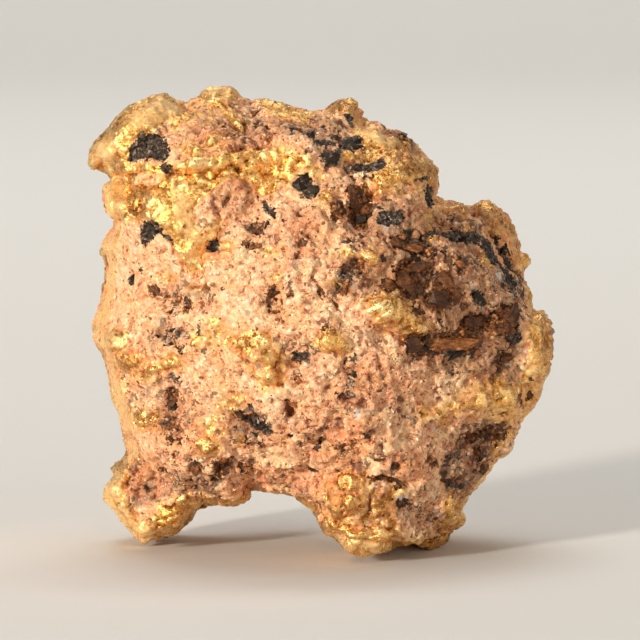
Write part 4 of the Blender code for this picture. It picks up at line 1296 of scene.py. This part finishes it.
def placed_blocks(name, skin, low_tone, high_tone):
    """One mesh of angular crystals of the table of blocks, each laid on the stone where the view has it."""
    rng = np.random.default_rng(BLOCK_SEED)
    seen = np.flatnonzero(skin["masks"]["seen"] > 0.5)
    spots = view_pixels(skin["points"][seen])
    points, triangles, owns = [], [], []
    for x, y, width, height, turn, high, tone in BLOCKS.values():
        near = seen[np.argsort(((spots - (x, y)) ** 2).sum(1))[:BLOCK_FOOTING]]
        middle, out = skin["points"][near].mean(0), skin["normals"][near].mean(0)
        out /= np.linalg.norm(out)
        side = VIEW_RIGHT * math.cos(math.radians(turn)) - VIEW_UP * math.sin(math.radians(turn))
        side -= out * (side @ out)
        side /= np.linalg.norm(side)
        body = rng.normal(size=(BLOCK_CORNERS, 3))
        body /= (np.abs(body) ** BLOCK_POWER).sum(1)[:, None] ** (1 / BLOCK_POWER)
        body *= rng.uniform(*BLOCK_REACH, (BLOCK_CORNERS, 1))
        body *= np.array([width * MM_PER_PIXEL, height * MM_PER_PIXEL, 2 * high]) / 2
        body[:, 1] += rng.uniform(*BLOCK_SKEW) * body[:, 0]
        body[:, 2] += rng.uniform(*BLOCK_SLOPE) * body[:, 0] + rng.uniform(*BLOCK_DIP) * body[:, 1]
        body = body @ np.array([side, np.cross(out, side), out]) + middle
        if low_tone <= tone < high_tone:
            triangles += (hull_triangles(body) + len(points)).tolist()
            points += (body + BLOCK_LIFT * high * out).tolist()
            owns += [tone] * len(body)
    mesh = new_mesh(name, points, triangles)
    add_attribute(mesh, "own", np.array(owns))
    with edited(mesh) as bm:
        bmesh.ops.delete(bm, geom=[v for v in bm.verts if not v.link_faces], context="VERTS")
    return placed(name, mesh)


# ---------------------------------------------------------------- materials
class Field:
    """A number or colour that varies over a piece. Arithmetic with it adds the nodes that work it out."""

    def __init__(self, tree, socket):
        self.tree, self.socket = tree, socket

    def math(self, operation, a, b):
        return Field(self.tree, add_node(self.tree, "Math", {0: a, 1: b}, operation=operation).outputs[0])

    def __add__(self, other):
        return self.math("ADD", self, other)

    def __sub__(self, other):
        return self.math("SUBTRACT", self, other)

    def __rsub__(self, other):
        return self.math("SUBTRACT", other, self)

    def __mul__(self, other):
        return self.math("MULTIPLY", self, other)

    def step(self, low, high, to_low=0.0, to_high=1.0):
        """A smooth step between two of its values."""
        inputs = {"Value": self, "From Min": low, "From Max": high, "To Min": to_low, "To Max": to_high}
        node = add_node(self.tree, "MapRange", inputs, interpolation_type="SMOOTHSTEP")
        return Field(self.tree, node.outputs[0])

    def ramp(self, stops):
        node = add_node(self.tree, "ValToRGB", {"Fac": self})
        elements = node.color_ramp.elements
        while len(elements) < len(stops):
            elements.new(0.5)
        for element, (place, colour) in zip(elements, stops):
            element.position, element.color = place, (*colour, 1.0)
        return Field(self.tree, node.outputs["Color"])


def feed(tree, socket, value):
    """Joins a field to a socket, or sets a number or a colour on it."""
    if isinstance(value, Field):
        tree.links.new(value.socket, socket)
    elif isinstance(value, tuple) and socket.type == "RGBA":
        socket.default_value = (*value, 1.0)
    else:
        socket.default_value = value


def add_node(tree, kind, inputs, **settings):
    node = tree.nodes.new("ShaderNode" + kind)
    for key, value in settings.items():
        setattr(node, key, value)
    for name, value in inputs.items():
        feed(tree, node.inputs[name], value)
    return node


class Material:
    """A principled material, with short ways to the fields that it is made from."""

    def __init__(self, name):
        self.data = bpy.data.materials.new(name)
        self.data.use_nodes = True
        self.tree = self.data.node_tree
        self.shader = self.tree.nodes["Principled BSDF"]
        self.place = self.node("TexCoord", "Object", {})

    def set(self, **inputs):
        """Feeds the shader; an underscore stands for each space in a socket's name."""
        for name, value in inputs.items():
            feed(self.tree, self.shader.inputs[name.replace("_", " ")], value)

    def node(self, kind, output, inputs, **settings):
        return Field(self.tree, add_node(self.tree, kind, inputs, **settings).outputs[output])

    def attribute(self, name):
        return self.node("Attribute", "Fac", {}, attribute_name=name)

    def noise(self, size, detail=3.0, roughness=0.6, layers=1.0):
        """Noise with forms about size across; layers above 1 makes them that much thinner in height."""
        place = self.place
        if layers != 1.0:
            place = self.node("VectorMath", 0, {0: place, 1: (1.0, 1.0, layers)}, operation="MULTIPLY")
        inputs = {"Vector": place, "Scale": 1 / (size * MM), "Detail": detail, "Roughness": roughness}
        return self.node("TexNoise", "Fac", inputs)

    def cells(self, size, stir):
        """A random number for each cell, another one, and the distance from the cell's middle."""
        scale = 1 / (size * MM)
        swirl = self.node("TexNoise", "Color", {"Vector": self.place, "Scale": scale, "Detail": 2.0})
        inputs = {0: swirl, 1: (stir * MM,) * 3, 2: self.place}
        place = self.node("VectorMath", 0, inputs, operation="MULTIPLY_ADD")
        cells = add_node(self.tree, "TexVoronoi", {"Vector": place, "Scale": scale}).outputs
        parts = add_node(self.tree, "SeparateColor", {"Color": Field(self.tree, cells["Color"])}).outputs
        return (Field(self.tree, socket) for socket in (parts["Red"], parts["Green"], cells["Distance"]))

    def mix(self, share, a, b, blend="MIX"):
        return self.node("Mix", 2, {0: share, 6: a, 7: b}, data_type="RGBA", blend_type=blend)

    def tinted(self, share, colour, tint):
        return self.mix(share, colour, self.mix(1.0, colour, tint, "MULTIPLY"))

    def bump(self, height, distance, strength, **below):
        inputs = {"Distance": distance * MM, "Strength": strength, "Height": height, **below}
        return self.node("Bump", 0, inputs)


ROSE_STOPS = ((0.0, (0.22, 0.075, 0.035)), (0.16, (0.60, 0.27, 0.14)), (0.42, (0.88, 0.50, 0.28)),
              (0.68, (0.99, 0.70, 0.45)), (1.0, (1.0, 0.92, 0.75)))
# gold from painted shade at the dark end to a painted highlight at the bright end, the tone between them
# varying with noise and with hollows
GOLD_STOPS = ((0.0, (0.10, 0.042, 0.010)), (0.3, (0.42, 0.190, 0.046)), (0.6, (0.90, 0.460, 0.118)),
              (1.0, (1.0, 0.71, 0.33)))
STAIN_AND_SHADE_STOPS = ((0.0, (0.14, 0.05, 0.012)), (0.5, (0.50, 0.21, 0.06)), (1.0, (0.88, 0.48, 0.18)))
DARK_STOPS = ((0.0, (0.005, 0.004, 0.003)), (0.42, (0.025, 0.016, 0.011)), (0.68, (0.083, 0.053, 0.035)),
              (0.86, (0.21, 0.155, 0.115)), (1.0, (0.46, 0.38, 0.30)))
BROWN_STOPS = ((0.0, (0.013, 0.006, 0.004)), (0.35, (0.046, 0.019, 0.010)), (0.6, (0.15, 0.052, 0.016)),
               (0.8, (0.38, 0.130, 0.034)), (1.0, (0.70, 0.39, 0.18)))
MOSAIC_STOPS = ((0.0, (0.03, 0.022, 0.018)), (0.3, (0.11, 0.06, 0.035)), (0.6, (0.30, 0.13, 0.05)),
                (0.8, (0.36, 0.27, 0.20)), (1.0, (0.62, 0.42, 0.25)))
SPECK_STOPS = ((0.0, (0.08, 0.035, 0.026)), (0.4, (0.23, 0.085, 0.045)), (0.8, (0.46, 0.19, 0.10)),
               (1.0, (0.60, 0.30, 0.12)))
CREAM_HIGHLIGHT_GOLD = (0.98, 0.62, 0.26)
PALE_AND_GLINT_COLOUR = (0.70, 0.63, 0.55)
PIT_COLOUR = (0.23, 0.08, 0.042)
# tints for darker stone and painted shade on it, and painted shade on the gold, where the dusk is
DUSK_STONE_AND_SHADE_TINT, GOLD_DUSK_SHADE_TINT = (0.50, 0.38, 0.30), (0.62, 0.50, 0.42)
PINKER_TINT, CREAMIER_TINT = (1.0, 0.91, 0.86), (1.0, 1.0, 0.88)
ROSY_TINT = (0.91, 0.77, 0.70)
STAIN_AND_SHADE_TINT = (0.92, 0.66, 0.40)
GILT_TINT = (0.97, 0.88, 0.66)
WARM_SHINE = (1.0, 0.86, 0.72)
CRYSTAL_SHINE = 0.35
# noises that several materials share: size in millimetres, detail, roughness, layers
MIDDLE_NOISE = (0.55, 3.0, 0.6)
STREAK_NOISE = (0.30, 3.0, 0.6, 3.5)


def patchy(m, name, middle):
    """A field with its soft edges broken up into patches."""
    return (m.attribute(name) + (middle - 0.5) * 2.2).step(0.1, 0.8)


def rose_colour(m, shade, middle):
    hue = m.noise(0.8, 3.0, 0.7).step(0.42, 0.58)
    rose = m.mix(1.0, shade.ramp(ROSE_STOPS), m.mix(hue, PINKER_TINT, CREAMIER_TINT), "MULTIPLY")
    rose = m.tinted(patchy(m, "rosy", middle), rose, ROSY_TINT)
    stain_and_shade = m.attribute("stain_and_shade") * 0.6 + m.noise(1.9, 3.0, 0.6).step(0.52, 0.66) * 0.45
    rose = m.tinted(stain_and_shade, rose, STAIN_AND_SHADE_TINT)
    rose = m.tinted(m.attribute("gilt"), rose, GILT_TINT)
    # darker stone and painted shade where the dusk is
    return m.tinted(patchy(m, "dusk", middle) * 0.85, rose, DUSK_STONE_AND_SHADE_TINT)


def gold_colour(m, glow):
    # browner gold where stains and painted shade are
    return m.mix(m.attribute("stain_and_shade") * 0.75, glow.ramp(GOLD_STOPS), glow.ramp(STAIN_AND_SHADE_STOPS))


def stone_material():
    m = Material("nugget_gold_and_matrix")
    hollow_shade, dusk, cream_highlight = m.attribute("hollow_shade"), m.attribute("dusk"), m.attribute("cream_highlight")
    fine, middle, broad = m.noise(0.20, 4.0, 0.7), m.noise(*MIDDLE_NOISE), m.noise(1.3, 3.0, 0.55)
    edge = fine.step(0.2, 0.8, -0.4, 0.4) + middle.step(0.3, 0.7, -0.3, 0.3)

    def crisp(name, share):
        return (m.attribute(name) + edge * share).step(0.38, 0.62)

    gold, dark, brown = crisp("gold", 1.0), crisp("dark", 0.9), crisp("brown", 0.7)
    own, other, cell_middle = m.cells(0.16, 0.30)
    # the hollow term darkens the stone in hollows: painted shade
    shade = (own * 0.30 + middle.step(0.35, 0.65) * 0.28 + fine.step(0.3, 0.7) * 0.35
             + (1.0 - hollow_shade) * 0.20 - 0.10)
    colour = rose_colour(m, shade, middle)
    grain, grain_tone, _ = m.cells(0.27, 0.25)
    mosaic = (grain + patchy(m, "grainy", middle) * 0.50).step(0.93, 0.97)
    colour = m.mix(mosaic * 0.8, colour, grain_tone.ramp(MOSAIC_STOPS))
    colour = m.mix(m.attribute("pit") * 0.85, colour, PIT_COLOUR)
    chance = dusk * 0.05 + m.attribute("rosy") * 0.03 + m.attribute("smooth") * -0.04
    for size, low, share, pick in ((0.14, 0.685, 0.65, own), (0.30, 0.70, 0.8, other)):
        speck = (m.noise(size, 3.0, 0.65) + chance).step(low, low + 0.04)
        colour = m.mix(speck * share, colour, pick.ramp(SPECK_STOPS))
    streaks = m.noise(*STREAK_NOISE).step(0.3, 0.7)
    tones = own * 0.4 + fine.step(0.25, 0.75) * 0.3 + streaks * 0.3
    colour = m.mix(brown, colour, tones.ramp(BROWN_STOPS))

    # the gold's glow drops in hollows, so its dark end there is painted shade
    glow = broad.step(0.3, 0.7) * 0.35 + fine.step(0.3, 0.7) * 0.45 + (0.75 - hollow_shade) * 0.6
    # creamy painted highlight on the gold, which is also less metallic there
    metal = m.mix(cream_highlight * 0.6, gold_colour(m, glow), CREAM_HIGHLIGHT_GOLD)
    # painted shade on the gold where the dusk is
    metal = m.tinted(patchy(m, "dusk", middle) * 0.7, metal, GOLD_DUSK_SHADE_TINT)
    colour = m.mix(gold, colour, metal)
    colour = m.mix(dark, colour, tones.ramp(DARK_STOPS))
    # white chips and painted glints
    colour = m.mix(m.attribute("pale_and_glint"), colour, PALE_AND_GLINT_COLOUR)

    grit = m.noise(0.10, 3.0, 0.7) * (1.0 - gold * 0.7)
    bumps = m.bump(grit, 0.04, 0.9, Normal=m.bump(cell_middle, 0.03, 0.4))
    rough = fine.step(0.2, 0.8, 0.5, 0.75) + gold * -0.34 + dark * -0.25 + brown * -0.25
    m.set(Base_Color=colour, Metallic=gold * (0.96 - cream_highlight * 0.55), Roughness=rough,
          Normal=m.bump(fine, 0.08, 0.6, Normal=bumps))
    return m.data


def sugar_material(name, lift):
    m = Material(name)
    fine, middle = m.noise(0.12, 2.0), m.noise(*MIDDLE_NOISE)
    shade = m.attribute("own") * 0.85 + fine.step(0.3, 0.7) * 0.22 + middle.step(0.35, 0.65) * 0.28 + lift
    m.set(Base_Color=rose_colour(m, shade, middle), Roughness=fine.step(0.3, 0.7, 0.35, 0.6),
          Normal=m.bump(fine, 0.02, 0.3))
    return m.data


def block_material(name, stops, rough):
    m = Material(name)
    fine, broad = m.noise(0.22, 4.0, 0.65), m.noise(0.8, 3.0)
    streaks = m.noise(*STREAK_NOISE).step(0.3, 0.7)
    shade = (m.attribute("own") * 0.6 + fine.step(0.3, 0.7) * 0.25 + broad.step(0.3, 0.7) * 0.2
             + streaks * 0.25 - 0.12)
    m.set(Base_Color=shade.ramp(stops), Roughness=fine.step(0.3, 0.7, rough, rough + 0.3),
          Normal=m.bump(fine, 0.05, 0.6), Specular_IOR_Level=CRYSTAL_SHINE, Specular_Tint=WARM_SHINE)
    return m.data


def crystal_material(name, stops, rough):
    m = Material(name)
    fine = m.noise(0.16, 3.0)
    shade = m.attribute("own") * 0.5 + fine.step(0.3, 0.7) * 0.5
    m.set(Base_Color=shade.ramp(stops), Roughness=fine.step(0.3, 0.7, rough, rough + 0.25),
          Normal=m.bump(fine, 0.02, 0.3), Specular_IOR_Level=CRYSTAL_SHINE, Specular_Tint=WARM_SHINE)
    return m.data


def gold_grain_material():
    m = Material("gold_grains")
    fine = m.noise(0.14, 3.0)
    glow = m.attribute("own") * 0.45 + fine.step(0.3, 0.7) * 0.45 + 0.1
    m.set(Base_Color=gold_colour(m, glow), Metallic=fine.step(0.3, 0.7, 1.0, 0.9),
          Roughness=fine.step(0.3, 0.7, 0.28, 0.5), Normal=m.bump(fine, 0.03, 0.4))
    return m.data


# ---------------------------------------------------------------- stage, lights and camera, in metres
FLOOR_COLOUR = (0.74, 0.73, 0.71)
FLOOR_FLAT, FLOOR_WALL, FLOOR_HEIGHT = 0.45, 0.35, 0.9
FLOOR_INNER_RINGS = (0.05, 0.15, 0.6 * FLOOR_FLAT)
FLOOR_SIDES, FLOOR_BEND_STEPS = 96, 14
LIGHTS = {
    # name: (place, aim, size, watts, colour)
    "key": ((-0.31, -0.33, 0.115), (0.0, 0.0, 0.011), 0.06, 2.3, (1.0, 0.92, 0.81)),
    "fill": ((0.34, -0.32, 0.10), (0.0, 0.0, 0.011), 0.30, 0.42, (1.0, 0.93, 0.85)),
    "top": ((0.0, 0.05, 0.55), (0.0, 0.0, 0.0), 0.40, 0.8, (1.0, 0.97, 0.93)),
    "backdrop": ((0.0, 0.20, 0.50), (0.0, 0.75, 0.05), 0.40, 1.6, (1.0, 0.98, 0.95)),
}
WORLD_COLOUR = (0.15, 0.145, 0.137)


def make_floor():
    """A flat disc that curves up far away all round."""
    profile = [(radius, 0.0) for radius in FLOOR_INNER_RINGS]
    for step in range(FLOOR_BEND_STEPS + 1):
        turn = math.pi / 2 * step / FLOOR_BEND_STEPS
        profile.append((FLOOR_FLAT + FLOOR_WALL * math.sin(turn), FLOOR_WALL * (1 - math.cos(turn))))
    profile.append((FLOOR_FLAT + FLOOR_WALL, FLOOR_HEIGHT))
    points = [(0.0, 0.0, 0.0)]
    for radius, height in profile:
        for side in range(FLOOR_SIDES):
            turn = 2 * math.pi * side / FLOOR_SIDES
            points.append((radius * math.cos(turn), radius * math.sin(turn), height))
    faces = [(0, 1 + side, 1 + (side + 1) % FLOOR_SIDES) for side in range(FLOOR_SIDES)]
    for ring in range(len(profile) - 1):
        start = 1 + ring * FLOOR_SIDES
        for side in range(FLOOR_SIDES):
            after = (side + 1) % FLOOR_SIDES
            outer = start + FLOOR_SIDES
            faces.append((start + side, outer + side, outer + after, start + after))
    mesh = new_mesh("floor", points, faces)
    mesh.shade_smooth()
    floor = placed("floor", mesh)
    paper = Material("floor_paper")
    paper.set(Base_Color=FLOOR_COLOUR, Roughness=0.9, Specular_IOR_Level=0.15)
    mesh.materials.append(paper.data)


def make_lights():
    for name, (place, aim, size, watts, colour) in LIGHTS.items():
        data = bpy.data.lights.new(name, "AREA")
        data.shape = "DISK"
        data.size, data.energy, data.color = size, watts, colour
        lamp = placed(name, data)
        lamp.location = place
        lamp.rotation_euler = (Vector(aim) - Vector(place)).to_track_quat("-Z", "Y").to_euler()
    world = bpy.data.worlds.new("studio")
    world.use_nodes = True
    world.node_tree.nodes["Background"].inputs["Color"].default_value = (*WORLD_COLOUR, 1.0)
    bpy.context.scene.world = world
    bpy.context.scene.view_settings.view_transform = "Standard"


def make_camera():
    data = bpy.data.cameras.new("camera")
    data.lens, data.sensor_width = LENS_MM, SENSOR_MM
    data.clip_start, data.clip_end = CLIP_START, CLIP_END
    camera = placed("camera", data)
    turn = Matrix(np.column_stack([VIEW_RIGHT, VIEW_UP, VIEW_BACK]).tolist()).to_4x4()
    camera.matrix_world = Matrix.Translation(Vector(VIEW_PLACE * MM)) @ turn
    bpy.context.scene.camera = camera


# ---------------------------------------------------------------- putting it together
GRAINS = {
    # name: (bodies, seed, shape, half sizes, squash, sink, jitter)
    "rose_sugar": (9900, 1, ICO_POINTS, (0.045, 0.13), 0.4, 0.5, 0.16),
    "cream_sugar": (9900, 2, ICO_POINTS, (0.035, 0.085), 0.3, 0.45, 0.16),
    "dark_crystals": (6000, 3, BOX_POINTS, (0.05, 0.22), 0.3, 0.5, 0.15),
    "brown_crystals": (3600, 4, BOX_POINTS, (0.08, 0.33), 0.5, 0.5, 0.15),
    "speckles": (5000, 6, BOX_POINTS, (0.02, 0.085), 0.3, 0.4, 0.2),
    "gold_grains": (8000, 5, ICO_POINTS, (0.035, 0.11), 0.55, 0.5, 0.18),
}


def finish_piece(obj, material, replaces=False):
    obj.data.materials.append(material)
    set_points(obj.data, mesh_points(obj.data) * MM)
    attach(obj, "root")
    if replaces:
        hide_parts(NODE)


def main():
    make_camera()
    make_lights()
    make_floor()
    stone = base_skin()
    masks = shape_skin(stone)
    stone.data.calc_loop_triangles()
    skin = {"points": mesh_points(stone.data), "normals": mesh_normals(stone.data), "masks": masks,
            "triangles": mesh_rows(stone.data.loop_triangles, "vertices", 3, np.int32)}
    finish_piece(stone, stone_material(), replaces=True)

    gold, dark, brown, cream_highlight = (masks[name] for name in ("gold", "dark", "brown", "cream_highlight"))
    nearer = 0.25 + 0.75 * masks["seen"]  # fewer grains where the view doesn't reach
    sugar = matrix_share(masks) ** 2 * (1 - masks["pit"]) * (1 - 0.6 * masks["smooth"]) * nearer
    gilded = 0.25 * masks["gilt"] * (1 - gold) + gold
    for name, weight, material in (
        ("rose_sugar", sugar, sugar_material("rose_sugar", -0.26)),
        ("cream_sugar", sugar, sugar_material("cream_sugar", -0.08)),
        ("dark_crystals", dark**2 * nearer, crystal_material("dark_crystals", DARK_STOPS, 0.28)),
        ("brown_crystals", brown**2 * nearer, crystal_material("brown_crystals", BROWN_STOPS, 0.25)),
        ("speckles", sugar * (0.1 + masks["dusk"] + 0.4 * masks["rosy"]),
         crystal_material("speckles", SPECK_STOPS, 0.3)),
        ("gold_grains", gilded * nearer * (1 - dark) * (1 - 0.7 * cream_highlight), gold_grain_material()),
    ):
        finish_piece(scattered_piece(name, skin, weight, *GRAINS[name]), material)
    for name, low, high, stops, rough in (("dark_blocks", 0.0, BLOCK_TONE_SPLIT, DARK_STOPS, 0.32),
                                          ("brown_blocks", BLOCK_TONE_SPLIT, 1.0, BROWN_STOPS, 0.4)):
        finish_piece(placed_blocks(name, skin, low, high), block_material(name, stops, rough))


main()
